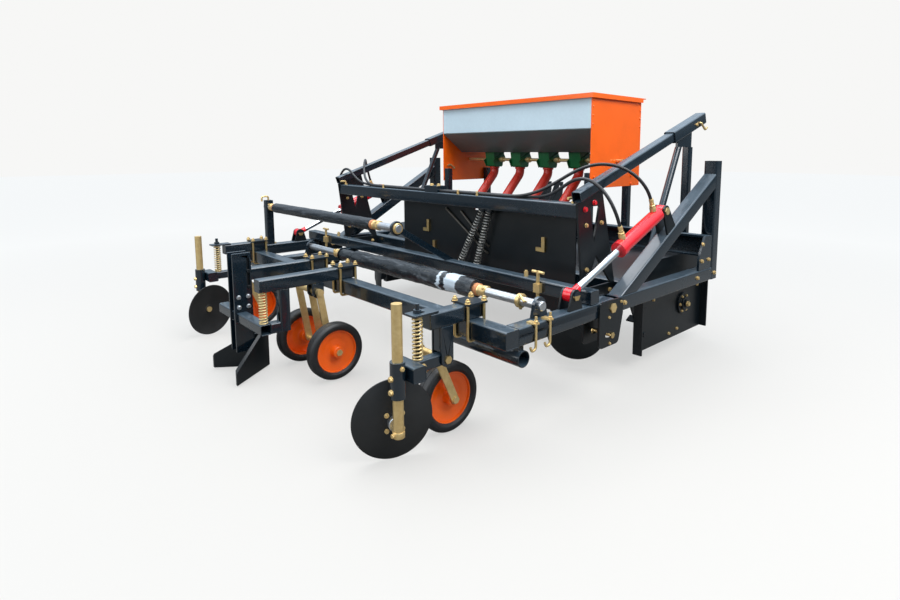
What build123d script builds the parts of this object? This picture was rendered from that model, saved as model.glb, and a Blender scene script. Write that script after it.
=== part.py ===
from build123d import *
import os
from math import atan2, cos, degrees, pi, radians, sin, sqrt, tan

# Ridging mulch layer: a tractor-drawn tiller and fertiliser drill with a hinged film-laying frame behind it.
# Millimetres, +Z up from the ground, +Y forwards to the tractor, +X to the machine's right.
# The origin is on the ground in the middle of the machine's footprint.

# Side frames
frame_half_width = 1243.0
rail_size = 70.0
rail_wall = 5.0
rail_corner = 8.0
rail_z = 435.0
post_y = 975.0
post_top = 1053.0
brace_foot_gap = 22.0
brace_drop = 70.0
channel_y = 845.0
channel_height = 110.0
channel_depth = 80.0
channel_wall = 8.0
channel_end = 12.0
channel_toe = 60.0

# Hinge between the front side frames and the rear frame
hinge_y = -45.0
hinge_pin_radius = 14.0
pin_clearance = 0.05
quadrant_rear_reach = 98.0
quadrant_front_reach = 48.0
quadrant_drop = 200.0
quadrant_corner = 24.0
quadrant_thickness = 10.0
quadrant_side_gap = 0.5
stop_arc_radius = 120.0
stop_bolt_radius = 9.0
stop_slot_play = 1.5
stop_rest_angle = -92.0
rail_end_gap = 58.0
arm_end_overhang = 28.0
lift_angle = 18.0

# Lift cylinders
clevis_y = -289.0
clevis_z = 527.0
upper_eye_y = 422.0
upper_eye_z = 818.0
barrel_radius = 33.0
barrel_bore = 24.0
barrel_length = 395.0
rod_radius = 17.0
eye_radius = 28.0
eye_width = 38.0
cylinder_pin_radius = 12.0
open_eye_play = 3.0
neck_radius = 18.0
barrel_start = 36.0
gland_radius = 37.0
gland_length = 35.0
bore_start = 60.0
piston_length = 30.0
piston_gap = 0.3
port_radius = 13.0
port_height = 55.0
upper_port = 70.0
lower_port = 350.0
lug_thickness = 10.0
lug_side_gap = 1.0
rod_inside = 180.0

# Rear frame
rear_beam_y = -665.0
cross_bar_y = -165.0
arm_size = 60.0
arm_wall = 4.0
inner_rail_inset = 553.0
inner_rail_x = inner_rail_inset - frame_half_width
hinge_bush_radius = 22.0
clevis_half = 45.0
stop_ear_radius = 20.0
stop_ear_thickness = 12.0
stop_ear_half = 30.0
u_bolt_radius = 6.0
u_bolt_gap = 1.0
clamp_plate = 8.0
clamp_margin = 14.0

guide_pipe_y = -600.0
guide_pipe_z = 347.0
guide_pipe_radius = 32.0
guide_pipe_wall = 4.0
guide_pipe_inset = 393.0
guide_pipe_inner_x = frame_half_width - guide_pipe_inset
guide_hanger = 30.0

# Tiller
tiller_side_gap = 73.0
tiller_half_width = frame_half_width - rail_size - tiller_side_gap
tiller_plate = 10.0
rotor_y = 884.0
rotor_z = 253.0
rotor_tip_radius = 235.0
rotor_tube_radius = 40.0
plate_rear_y = 385.0
plate_front_y = 1120.0
plate_foot_z = 76.0
plate_top_z = 430.0
hood_top_z = 540.0
hood_sheet = 6.0
hood_flat_rear_y = 540.0
hood_flat_front_y = 1075.0
hood_rear_y = 365.0
hood_rear_z = 424.0
hood_front_y = 1120.0
hood_front_z = 400.0
flange_count = 9
blades_per_flange = 4
blade_thickness = 9.0
blade_width = 52.0
blade_foot_length = 60.0

# Ridge formers behind the tiller
former_inset = 190.0
former_x = tiller_half_width - former_inset
former_y = 150.0
former_z = 195.0
former_radius = 150.0
former_dish = 34.0
former_sheet = 6.0
former_toe = 60.0
former_boss = 34.0
former_shank = 24.0
former_shank_width = 60.0

# Upper frame behind the tiller
hood_beam_y = 300.0
end_plate_inset = 54.0
end_plate_x = tiller_half_width - end_plate_inset
end_plate_thickness = 12.0
upper_beam_y = -5.0
upper_beam_z = 835.0

# Hopper
hopper_half_length = 660.0
hopper_rear_y = 609.0
hopper_front_y = 1140.0
hopper_top = 1430.0
hopper_end_foot = 890.0
hopper_break_z = 1238.0
hopper_floor_z = 1100.0
hopper_floor_rear_y = 790.0
hopper_floor_front_y = 960.0
hopper_sheet = 4.0
end_sheet = 6.0
lid_sheet = 5.0
lid_overhang = 18.0
lid_skirt = 22.0
leg_size = 45.0
meter_pitch = 255.0
meter_count = 4
meter_width = 90.0
meter_height = 105.0
meter_depth = 110.0
meter_shaft_radius = 11.0
tube_radius = 30.0
tube_wall = 3.0
drop_end_y = 511.0
drop_end_z = 566.0
drop_neck = 45.0
drop_bend = 60.0
drop_flange = 12.0

# Rear units: arms on the rear beam, discs and wheels
unit_inset = 228.0
unit_x = frame_half_width - unit_inset
unit_arm_rear_y = -875.0
unit_arm_front_y = -615.0
unit_post_y = -800.0
unit_pivot_z = 345.0
unit_pin_radius = 10.0
post_width = 44.0
post_depth = 56.0
post_foot_gap = 8.0
ear_thickness = 8.0
lower_arm_width = 40.0
lower_arm_height = 46.0
lower_arm_wall = 4.0
lower_arm_nose = 24.0
arm_bush_radius = 18.0
toe_tube_y = -962.0
toe_tube_size = 56.0
toe_tube_inner_reach = 55.0
toe_tube_outer_reach = 75.0
toe_tube_inner_x = unit_x - toe_tube_inner_reach
toe_tube_outer_x = unit_x + toe_tube_outer_reach
seat_thickness = 8.0
seat_rear_y = -950.0
seat_front_y = -840.0
swing_angle = 6.0
spring_rod_radius = 8.0
spring_rod_end = 22.0
rod_play = 2.0
rod_nut_radius = 15.0
rod_nut_height = 12.0
rod_nut_gap = 0.3
shank_offset = 18.0
shank_x = unit_x + shank_offset
shank_radius = 19.0
shank_top = 595.0
shank_foot = 118.0
sleeve_radius = 27.0
sleeve_bite = 2.0
sleeve_bottom = 262.0
sleeve_top = 392.0
disc_radius = 150.0
disc_dish = 26.0
disc_sheet = 5.0
disc_toe = 20.0
hub_radius = 26.0
hub_reach = 52.0
hub_outboard = 22.0
hub_inboard = 8.0
hub_cap_radius = 16.0
hub_cap_length = 8.0
hub_side_gap = 0.5
stub_radius = 10.0
wheel_offset = 84.0
wheel_x = unit_x - wheel_offset
wheel_y = -709.0
wheel_radius = 140.0
tyre_width = 66.0
tyre_shoulder = 18.0
rim_radius = 104.0
rim_sheet = 5.0
rim_width = 46.0
web_radius = 62.0
wheel_hub_radius = 27.0
axle_radius = 10.0
fork_bar = 8.0
fork_gap = 10.0
fork_end_radius = 17.0

# Middle arm with its wheel pair, and the ridging share
centre_wheel_x = 167.0
centre_wheel_y = -778.0
centre_arm_x = 80.0
share_tube_y = -1085.0
centre_arm_overhang = 25.0
centre_post_gap = 95.0
centre_arm_rear_y = share_tube_y - centre_arm_overhang
centre_post_y = share_tube_y + centre_post_gap
centre_post_size = 50.0
centre_pivot_y = -825.0
centre_pivot_z = 428.0
centre_pivot_radius = 17.0
centre_pivot_left = -110.0
centre_pivot_right = 135.0
centre_bars = (-104.0, 31.0, 117.0)
bracket_half = 30.0
share_x = -215.0
share_plate_front = 55.0
share_plate_front_y = share_tube_y + share_plate_front
share_plate_depth = 90.0
share_plate_gap = 52.0
share_plate = 10.0
share_plate_top = 612.0
share_plate_foot = 120.0
share_tube_size = 50.0
share_tube_z = 295.0
share_tube_left = -430.0
share_shank_width = 50.0
share_shank_depth = 25.0
share_shank_gap = 3.0
share_shank_top = 600.0
share_travel = 60.0
share_bolt_radius = 6.0
share_bolt_zs = (440.0, 520.0)
share_slot_play = 1.0
share_foot_z = 5.0
share_nose_reach = 85.0
share_tip_reach = 141.0
share_nose_y = share_plate_front_y + share_nose_reach
share_tip_y = share_plate_front_y - share_tip_reach
share_span = 165.0
share_height = 190.0
share_sheet = 8.0
share_tip_height = 60.0

# Film rolls
near_roll_y = -465.0
near_roll_z = 515.0
near_roll_radius = 45.0
near_roll_left = -280.0
near_roll_right = 840.0
cradle_inset = 58.0
cradle_offset = 18.0
near_cradle_right = frame_half_width - cradle_inset
near_cradle_left = inner_rail_x + cradle_offset
upper_roll_y = -500.0
upper_roll_z = 728.0
upper_roll_radius = 34.0
upper_roll_inset = 153.0
upper_roll_left = upper_roll_inset - frame_half_width
upper_roll_right = 90.0
roll_shaft_radius = 19.0
core_wall = 6.0
core_overhang = 22.0
cone_length = 48.0
shaft_overhang = 16.0
cradle_plate = 14.0
cradle_head = 34.0
roll_post_size = 50.0
roll_post_rise = 45.0
ring_x = 298.0
ring_radius = 36.0

# Rear board, hung from a rod in front of the upper beam
board_left = -400.0
board_end_gap = 46.0
board_right = end_plate_x - board_end_gap
board_sheet = 6.0
board_foot_z = 320.0
board_rod_radius = 7.0
board_rod_gap = 18.0
board_rod_drop = 20.0
board_knuckle = 13.0
board_ear_width = 30.0
board_ear_gap = 2.0
lock_inset = 208.0
lock_places = ((-124.0, 655.0), (-67.0, 531.0), (board_right - lock_inset, 645.0))
lock_depth = 12.0
lock_long = 74.0
lock_short = 46.0
lock_bar = 20.0
stay_radius = 6.0
stay_gap = 4.0
stay_bend = 8.0
stay_ends = (((46.0, 773.0), (394.0, 551.0)), ((179.0, 766.0), (402.0, 590.0)))
hook_z = 446.0
hook_thickness = 6.0
hook_left = 160.0
hook_right = 370.0

# Springs
unit_spring_y = -915.0
unit_spring_turns = 7
centre_spring_turns = 6
spring_radius = 17.0
spring_wire = 3.4
board_spring_y = 5.0
board_spring_tops = (395.0, 446.0)
board_spring_feet = (192.0, 333.0)
board_spring_turns = 9
board_spring_radius = 17.0
board_spring_wire = 3.6
wire_sides = 5
spring_seat_radius = 22.0
spring_seat_height = 14.0

# Hydraulic hoses
hose_radius = 8.0
hose_rest_gap = 0.3
tee_half = 60.0
tee_rear = 34.0
tee_front = 34.0
tee_height = 36.0

# Values that follow from the sizes above
rail_x = frame_half_width - rail_size / 2
rail_top = rail_z + rail_size / 2
rail_foot = rail_z - rail_size / 2
rail_inner_x = frame_half_width - rail_size
arm_z = rail_top + arm_size / 2
arm_top = rail_top + arm_size
front_rail_start = hinge_y + rail_end_gap
rail_front_y = post_y - rail_size / 2
rear_arm_end = hinge_y + arm_end_overhang

os.makedirs("parts", exist_ok=True)


def straight_tube(start, end, width, height, wall, corner=rail_corner):
    """A rectangular tube with rounded outer corners between two points."""
    run = Vector(*end) - Vector(*start)
    across = Vector(0, 1, 0) if abs(run.X) > 0.9 * run.length else Vector(1, 0, 0)
    section = Plane(origin=Vector(*start), x_dir=across, z_dir=run)
    with BuildPart() as tube:
        with BuildSketch(section):
            RectangleRounded(width, height, corner)
            Rectangle(width - 2 * wall, height - 2 * wall, mode=Mode.SUBTRACT)
        extrude(amount=run.length)
    return tube.part


def round_bar(start, end, radius, bore=0.0):
    """A round bar, or a pipe where it has a bore, between two points."""
    run = Vector(*end) - Vector(*start)
    with BuildPart() as bar:
        with BuildSketch(Plane(origin=Vector(*start), z_dir=run)):
            Circle(radius)
            if bore:
                Circle(bore, mode=Mode.SUBTRACT)
        extrude(amount=run.length)
    return bar.part


def side_plate(outline, x_start, thickness, holes=(), corner=0.0):
    """A flat plate that stands fore and aft: its outline is in Y and Z, its holes are (y, z, radius)."""
    with BuildPart() as plate:
        with BuildSketch(Plane.YZ.offset(x_start)) as face:
            with BuildLine():
                Polyline(*outline, close=True)
            make_face()
            if corner:
                fillet(face.vertices(), corner)
            for hole_y, hole_z, hole_radius in holes:
                with Locations((hole_y, hole_z)):
                    Circle(hole_radius, mode=Mode.SUBTRACT)
        extrude(amount=thickness)
    return plate.part


def folded(line, sheet):
    """The closed outline of a sheet folded along a line of points, its thickness on the line's left."""
    points = [Vector(*point) for point in line]
    normals = []
    for start, end in zip(points, points[1:]):
        run = (end - start).normalized()
        normals.append(Vector(-run.Y, run.X))
    inner = [points[0] + normals[0] * sheet]
    for before, after, corner in zip(normals, normals[1:], points[1:]):
        inner.append(corner + (before + after) * (sheet / (1 + before.dot(after))))
    inner.append(points[-1] + normals[-1] * sheet)
    return [(point.X, point.Y) for point in points + inner[::-1]]


def block(low, high):
    """A rectangular block between two corners."""
    size = [top - bottom for bottom, top in zip(low, high)]
    with BuildPart() as body:
        with Locations(tuple((bottom + top) / 2 for bottom, top in zip(low, high))):
            Box(*size)
    return body.part


def other_side(piece):
    """The same piece on the machine's other side."""
    return mirror(piece, about=Plane.YZ)


def both_sides(pieces):
    """Pieces of the right side, with their mirror images on the left."""
    return list(pieces) + [other_side(piece) for piece in pieces]


def node(label, *pieces):
    """Write one named node, made of one solid or of a group of separate solids."""
    solids = [solid for piece in pieces for solid in piece.solids()]
    body = solids[0] if len(solids) == 1 else Compound(solids)
    body.label = label
    export_step(body, f"parts/{label}.step")
    return body


# Front side frames
brace_start = (rail_x, front_rail_start + brace_foot_gap, rail_top)
brace_end = (rail_x, rail_front_y, post_top - brace_drop)
brace_slope = atan2(brace_end[2] - brace_start[2], brace_end[1] - brace_start[1])


def brace():
    """The diagonal brace, cut flat on the rail below and on the post in front."""
    reach = rail_size
    step_y, step_z = reach * cos(brace_slope), reach * sin(brace_slope)
    half_foot = rail_size / 2 / sin(brace_slope)
    start = (rail_x, brace_start[1] + half_foot - step_y, brace_start[2] - step_z)
    end = (rail_x, brace_end[1] + half_foot + step_y, brace_end[2] + step_z)
    with BuildPart() as diagonal:
        add(straight_tube(start, end, rail_size, rail_size, rail_wall))
        split(bisect_by=Plane.XY.offset(rail_top), keep=Keep.TOP)
        split(bisect_by=Plane.XZ.offset(-rail_front_y), keep=Keep.TOP)
    return diagonal.part


right_rail = straight_tube((rail_x, front_rail_start, rail_z), (rail_x, rail_front_y, rail_z),
                           rail_size, rail_size, rail_wall)
right_post = straight_tube((rail_x, post_y, rail_foot), (rail_x, post_y, post_top), rail_size, rail_size, rail_wall)
channel_front_y = channel_y + channel_depth
channel_top = hood_top_z + channel_height
channel_line = [(channel_y, hood_top_z), (channel_front_y, hood_top_z),
                (channel_front_y, channel_top), (channel_y, channel_top)]
channel_half_length = frame_half_width - channel_end
cross_channel = side_plate(folded(channel_line, channel_wall), -channel_half_length, 2 * channel_half_length)
channel_gusset = side_plate(
    [(channel_y - channel_toe, rail_top), (channel_front_y, rail_top), (channel_front_y, channel_top),
     (channel_y, channel_top), (channel_y - channel_toe, hood_top_z)],
    channel_half_length, channel_end)
node("front_side_frames", *both_sides([right_rail, right_post, brace(), channel_gusset]), cross_channel)

# Hinge quadrants: a pair of plates each side, with an arc slot for the stop bolt
quadrant_inner_x = rail_inner_x - quadrant_side_gap - quadrant_thickness
quadrant_outer_x = frame_half_width + quadrant_side_gap
quadrant_front_y = front_rail_start + brace_foot_gap


def on_stop_arc(angle):
    """The place on the stop bolt's arc at an angle, as Y and Z."""
    return (hinge_y + stop_arc_radius * cos(radians(angle)), rail_z + stop_arc_radius * sin(radians(angle)))


stop_y, stop_z = on_stop_arc(stop_rest_angle)


def quadrant(x_start):
    """One quadrant plate: bolted to the front rail, with the hinge bore and the stop bolt's arc slot."""
    spare = degrees(stop_slot_play / stop_arc_radius)
    slot_half = stop_bolt_radius + stop_slot_play
    slot_start = stop_rest_angle - lift_angle - spare
    slot_sweep = lift_angle + 2 * spare
    with BuildPart() as plate:
        with BuildSketch(Plane.YZ.offset(x_start)) as face:
            with BuildLine():
                Polyline(
                    (hinge_y - quadrant_rear_reach, rail_top),
                    (quadrant_front_y, rail_top),
                    (quadrant_front_y, rail_foot),
                    (hinge_y + quadrant_front_reach, rail_top - quadrant_drop),
                    (hinge_y - quadrant_rear_reach, rail_top - quadrant_drop),
                    close=True,
                )
            make_face()
            fillet(face.vertices(), quadrant_corner)
            with Locations((hinge_y, rail_z)):
                Circle(hinge_pin_radius, mode=Mode.SUBTRACT)
            with BuildLine():
                CenterArc((hinge_y, rail_z), stop_arc_radius + slot_half, slot_start, slot_sweep)
                CenterArc((hinge_y, rail_z), stop_arc_radius - slot_half, slot_start, slot_sweep)
                CenterArc(on_stop_arc(slot_start), slot_half, slot_start + 180.0, 180.0)
                CenterArc(on_stop_arc(slot_start + slot_sweep), slot_half, slot_start + slot_sweep, 180.0)
            make_face(mode=Mode.SUBTRACT)
        extrude(amount=quadrant_thickness)
    return plate.part


node("hinge_quadrants", *both_sides([quadrant(quadrant_inner_x), quadrant(quadrant_outer_x)]))

# Lugs for the cylinders' upper eyes, standing on the diagonal braces
lug_inner_x = rail_x - eye_width / 2 - lug_side_gap - lug_thickness
lug_outer_x = rail_x + eye_width / 2 + lug_side_gap
brace_normal = (-sin(brace_slope), cos(brace_slope))
brace_face_y = brace_start[1]
lug_half = 42.0
lug_along = (upper_eye_y - brace_face_y) * cos(brace_slope) + (upper_eye_z - rail_top) * sin(brace_slope)
lug_foot_y = brace_face_y + lug_along * cos(brace_slope)
lug_foot_z = rail_top + lug_along * sin(brace_slope)


def upper_lug(x_start):
    """One lug plate: its foot lies on the brace's upper face and its head is round about the eye's pin."""
    step_y, step_z = lug_half * cos(brace_slope), lug_half * sin(brace_slope)
    with BuildPart() as plate:
        with BuildSketch(Plane.YZ.offset(x_start)):
            with BuildLine():
                Polyline(
                    (lug_foot_y - step_y, lug_foot_z - step_z),
                    (lug_foot_y + step_y, lug_foot_z + step_z),
                    (upper_eye_y + eye_radius * cos(brace_slope), upper_eye_z + eye_radius * sin(brace_slope)),
                    (upper_eye_y - eye_radius * cos(brace_slope), upper_eye_z - eye_radius * sin(brace_slope)),
                    close=True,
                )
            make_face()
            with Locations((upper_eye_y, upper_eye_z)):
                Circle(eye_radius)
                Circle(cylinder_pin_radius, mode=Mode.SUBTRACT)
        extrude(amount=lug_thickness)
    return plate.part


node("cylinder_lugs", *both_sides([upper_lug(lug_inner_x), upper_lug(lug_outer_x)]))


def headed_pin(x_start, x_end, y, z, radius):
    """A pin along X with a round head at each end."""
    head = 6.0
    with BuildPart() as pin:
        with BuildSketch(Plane.YZ.offset(x_start)):
            with Locations((y, z)):
                Circle(radius)
        extrude(amount=x_end - x_start)
        with BuildSketch(Plane.YZ.offset(x_start - head), Plane.YZ.offset(x_end)):
            with Locations((y, z)):
                RegularPolygon(radius * 1.6, 6)
        extrude(amount=head)
    return pin.part


# Tiller: side plates, hood, bearings, rotor, gearbox and chain case
hood_line = [(hood_front_y, hood_front_z), (hood_flat_front_y, hood_top_z), (hood_flat_rear_y, hood_top_z),
             (hood_rear_y, hood_rear_z)]
tiller_hood = side_plate(folded(hood_line, hood_sheet), -tiller_half_width, 2 * tiller_half_width)
node("tiller_hood", tiller_hood)

journal_radius = 22.0
journal_reach = 42.0
bearing_radius = 62.0
bearing_depth = 24.0
plate_outline = hood_line + [(plate_rear_y, plate_top_z - tiller_plate), (plate_rear_y, plate_foot_z),
                             (plate_front_y, plate_foot_z)]
tiller_plate_right = side_plate(plate_outline, tiller_half_width, tiller_plate,
                                [(rotor_y, rotor_z, journal_radius + tiller_plate)])
edge_angle = 40.0
edge_strip = side_plate([(plate_rear_y, plate_foot_z), (plate_rear_y, plate_top_z - rail_size),
                         (plate_rear_y + tiller_plate, plate_top_z - rail_size),
                         (plate_rear_y + tiller_plate, plate_foot_z)],
                        tiller_half_width + tiller_plate, edge_angle)
front_strip = edge_strip.moved(Location((0, plate_front_y - plate_rear_y - tiller_plate, 0)))
node("tiller_side_plates", *both_sides([tiller_plate_right, edge_strip, front_strip]))

bearing_x = tiller_half_width + tiller_plate
with BuildPart() as bearing:
    with BuildSketch(Plane.YZ.offset(bearing_x)):
        with Locations((rotor_y, rotor_z)):
            Circle(bearing_radius)
            Circle(journal_radius + pin_clearance, mode=Mode.SUBTRACT)
            with PolarLocations(bearing_radius * 0.76, 6):
                RegularPolygon(bearing_radius * 0.12, 6, mode=Mode.SUBTRACT)
    extrude(amount=bearing_depth / 2)
    with BuildSketch(Plane.YZ.offset(bearing_x + bearing_depth / 2)):
        with Locations((rotor_y, rotor_z)):
            Circle(bearing_radius * 0.6)
            Circle(journal_radius + pin_clearance, mode=Mode.SUBTRACT)
    extrude(amount=bearing_depth / 2)
node("rotor_bearing", bearing.part)

rotor_half = tiller_half_width - 14.0
flange_radius = 92.0
flange_pitch = 2 * (rotor_half - 70.0) / (flange_count - 1)
with BuildPart() as rotor:
    with BuildSketch(Plane.YZ.offset(-rotor_half)):
        with Locations((rotor_y, rotor_z)):
            Circle(rotor_tube_radius)
    extrude(amount=2 * rotor_half)
    with BuildSketch(Plane.YZ.offset(-tiller_half_width - journal_reach)):
        with Locations((rotor_y, rotor_z)):
            Circle(journal_radius)
    extrude(amount=2 * (tiller_half_width + journal_reach))
    for place in range(flange_count):
        flange_x = (place - (flange_count - 1) / 2) * flange_pitch
        turn = 17.0 * place
        blade_reach = rotor_tip_radius - rotor_tube_radius
        with BuildSketch(Plane.YZ.offset(flange_x)):
            with Locations((rotor_y, rotor_z)):
                Circle(flange_radius)
                with PolarLocations((rotor_tip_radius + rotor_tube_radius) / 2, blades_per_flange, start_angle=turn):
                    Rectangle(blade_reach, blade_width)
        extrude(amount=blade_thickness)
        with BuildSketch(Plane.YZ.offset(flange_x)):
            with Locations((rotor_y, rotor_z)):
                with PolarLocations(rotor_tip_radius - blade_thickness / 2, blades_per_flange, start_angle=turn):
                    Rectangle(blade_thickness, blade_width)
        extrude(amount=blade_foot_length if place % 2 == 0 else -blade_foot_length)
node("rotor", rotor.part)

gearbox_y = 720.0
gearbox_half_width = 84.0
gearbox_half_depth = 80.0
gearbox_top = 790.0
side_shaft_z = 640.0
side_shaft_radius = 38.0
input_z = 700.0
input_radius = 17.0
input_front_y = 1120.0
chain_case_depth = 48.0
chain_case_gap = 4.0
case_x = -(tiller_half_width + tiller_plate + chain_case_gap + chain_case_depth)
with BuildPart() as gearbox:
    with Locations((0, gearbox_y, (hood_top_z + gearbox_top) / 2)):
        Box(2 * gearbox_half_width, 2 * gearbox_half_depth, gearbox_top - hood_top_z)
    fillet(gearbox.edges().filter_by(Axis.Z), 24.0)
    with BuildSketch(Plane.XZ.offset(-gearbox_y - gearbox_half_depth)):
        with Locations((0, input_z)):
            Circle(56.0)
    extrude(amount=-26.0)
    with Locations(Plane.XZ.offset(-gearbox_y - gearbox_half_depth - 26.0) * Location((0, input_z, 0))):
        Hole(input_radius + pin_clearance, depth=70.0)
side_shaft = round_bar((case_x + chain_case_depth, gearbox_y, side_shaft_z),
                       (-gearbox_half_width, gearbox_y, side_shaft_z), side_shaft_radius)
chain_upper = 64.0
chain_lower = 82.0
with BuildPart() as chain_case:
    with BuildSketch(Plane.YZ.offset(case_x)):
        with Locations((gearbox_y, side_shaft_z)):
            Circle(chain_upper)
        with Locations((rotor_y, rotor_z)):
            Circle(chain_lower)
        make_hull()
        with Locations((rotor_y, rotor_z)):
            Circle(journal_radius + pin_clearance, mode=Mode.SUBTRACT)
    extrude(amount=chain_case_depth)
node("gear_drive", gearbox.part, side_shaft, chain_case.part)

with BuildPart() as pto_shaft:
    with BuildSketch(Plane.XZ.offset(-gearbox_y - gearbox_half_depth + 40.0)):
        with Locations((0, input_z)):
            Circle(input_radius)
    extrude(amount=-(input_front_y - gearbox_y - gearbox_half_depth + 40.0))
    with BuildSketch(Plane.XZ.offset(-input_front_y + 70.0)):
        with Locations((0, input_z)):
            Circle(input_radius + 4.0)
            with PolarLocations(input_radius + 4.0, 6):
                Circle(4.5, mode=Mode.SUBTRACT)
    extrude(amount=-70.0)
node("pto_shaft", pto_shaft.part)

# Three-point hitch
mast_x = 46.0
mast_plate = 14.0
top_pin_y = 1098.0
top_pin_z = 855.0
top_pin_radius = 12.7
lower_pin_x = 400.0
lower_pin_y = 1140.0
lower_pin_z = 470.0
lower_pin_radius = 14.0
lower_pin_neck = 12.0
lower_pin_step = 2.0
lower_pin_length = 150.0
lower_lug_half = 30.0
parking_leg = 40.0
parking_wall = 4.0
parking_y = 1148.0
parking_foot = 76.0
parking_foot_depth = 44.0
parking_sheet = 8.0
mast = side_plate(
    [(channel_front_y, hood_top_z), (hood_flat_front_y, hood_top_z), (top_pin_y + 34.0, top_pin_z - 20.0),
     (top_pin_y + 34.0, top_pin_z + 34.0), (top_pin_y - 40.0, top_pin_z + 34.0), (channel_front_y, channel_top + 30.0)],
    mast_x, mast_plate, [(top_pin_y, top_pin_z, top_pin_radius)])
lug_foot_z = lower_pin_z - lower_lug_half
hood_slope = (hood_front_y - hood_flat_front_y) / (hood_top_z - hood_front_z)
lower_lug = side_plate(
    [(channel_front_y, hood_top_z), (hood_flat_front_y, hood_top_z),
     (hood_flat_front_y + hood_slope * (hood_top_z - lug_foot_z), lug_foot_z),
     (lower_pin_y + lower_lug_half, lug_foot_z), (lower_pin_y + lower_lug_half, lower_pin_z + lower_lug_half),
     (channel_front_y, channel_top)],
    lower_pin_x, mast_plate, [(lower_pin_y, lower_pin_z, lower_pin_neck)])
parking_x = lower_pin_x - parking_leg / 2
with BuildPart() as parking_stand:
    add(straight_tube((parking_x, parking_y, parking_sheet), (parking_x, parking_y, lower_pin_z + lower_lug_half),
                      parking_leg, parking_leg, parking_wall))
    add(block((parking_x - parking_foot / 2, parking_y - parking_foot_depth / 2, 0.0),
              (parking_x + parking_foot / 2, parking_y + parking_foot_depth / 2, parking_sheet)))
node("hitch_mast", *both_sides([mast, lower_lug, parking_stand.part]))

neck_end = lower_pin_x + mast_plate + lower_pin_step
with BuildPart() as lower_pin:
    add(round_bar((lower_pin_x, lower_pin_y, lower_pin_z), (neck_end, lower_pin_y, lower_pin_z), lower_pin_neck))
    add(round_bar((neck_end, lower_pin_y, lower_pin_z), (lower_pin_x + lower_pin_length, lower_pin_y, lower_pin_z),
                  lower_pin_radius))
hinge_pin = headed_pin(quadrant_inner_x, quadrant_outer_x + quadrant_thickness, hinge_y, rail_z, hinge_pin_radius)
upper_pin = headed_pin(lug_inner_x, lug_outer_x + lug_thickness, upper_eye_y, upper_eye_z, cylinder_pin_radius)
node("front_pins", *both_sides([lower_pin.part, hinge_pin, upper_pin]))

# Upper frame behind the tiller: hood beam, upper beam and the end plates with crossed webs
sloped_arm_size = 50.0
sloped_arm_wall = 4.0
sloped_arm_rear_y = -50.0
sloped_arm_rear_z = 899.0
sloped_arm_front_y = 1130.0
sloped_arm_front_z = 1297.0
arm_slope = atan2(sloped_arm_front_z - sloped_arm_rear_z, sloped_arm_front_y - sloped_arm_rear_y)
hood_beam = straight_tube((-rail_inner_x, hood_beam_y, rail_z), (rail_inner_x, hood_beam_y, rail_z),
                          rail_size, rail_size, rail_wall)
upper_beam = straight_tube((-end_plate_x, upper_beam_y, upper_beam_z), (end_plate_x, upper_beam_y, upper_beam_z),
                           rail_size, rail_size, rail_wall)


hood_beam_rear = hood_beam_y - rail_size / 2
web = 34.0
plate_head_front = 140.0
plate_foot_rear = 0.0


def arm_underside(y):
    """The height of the sloped arm's lower face at a station along the machine."""
    axis_z = sloped_arm_rear_z + (y - sloped_arm_rear_y) * (sloped_arm_front_z - sloped_arm_rear_z) / (
        sloped_arm_front_y - sloped_arm_rear_y)
    return axis_z - sloped_arm_size / 2 / cos(arm_slope)


cross_y = (plate_foot_rear + plate_head_front) / 2
cross_z = (rail_top + upper_beam_z) / 2
with BuildPart() as end_plate:
    with BuildSketch(Plane.YZ.offset(end_plate_x)):
        with BuildLine():
            Polyline(
                (sloped_arm_rear_y, arm_underside(sloped_arm_rear_y)),
                (plate_head_front, arm_underside(plate_head_front)),
                (hood_beam_rear, rail_top),
                (hood_beam_rear, rail_foot),
                (plate_foot_rear, rail_foot),
                (plate_foot_rear, rail_top),
                close=True,
            )
        make_face()
        with BuildLine(mode=Mode.PRIVATE) as upper_window:
            Polyline(
                (upper_beam_y + rail_size / 2 + web / 2, upper_beam_z + web / 2),
                (plate_head_front - web / 2, upper_beam_z + web / 2),
                (cross_y + web / 2, cross_z + web),
                close=True,
            )
        make_face(upper_window.edges(), mode=Mode.SUBTRACT)
        with BuildLine(mode=Mode.PRIVATE) as lower_window:
            Polyline(
                (plate_foot_rear + web, rail_top),
                (hood_beam_rear - web, rail_top),
                (cross_y + web, cross_z - web),
                close=True,
            )
        make_face(lower_window.edges(), mode=Mode.SUBTRACT)
    extrude(amount=end_plate_thickness)
node("end_plates", *both_sides([end_plate.part]))

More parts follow.
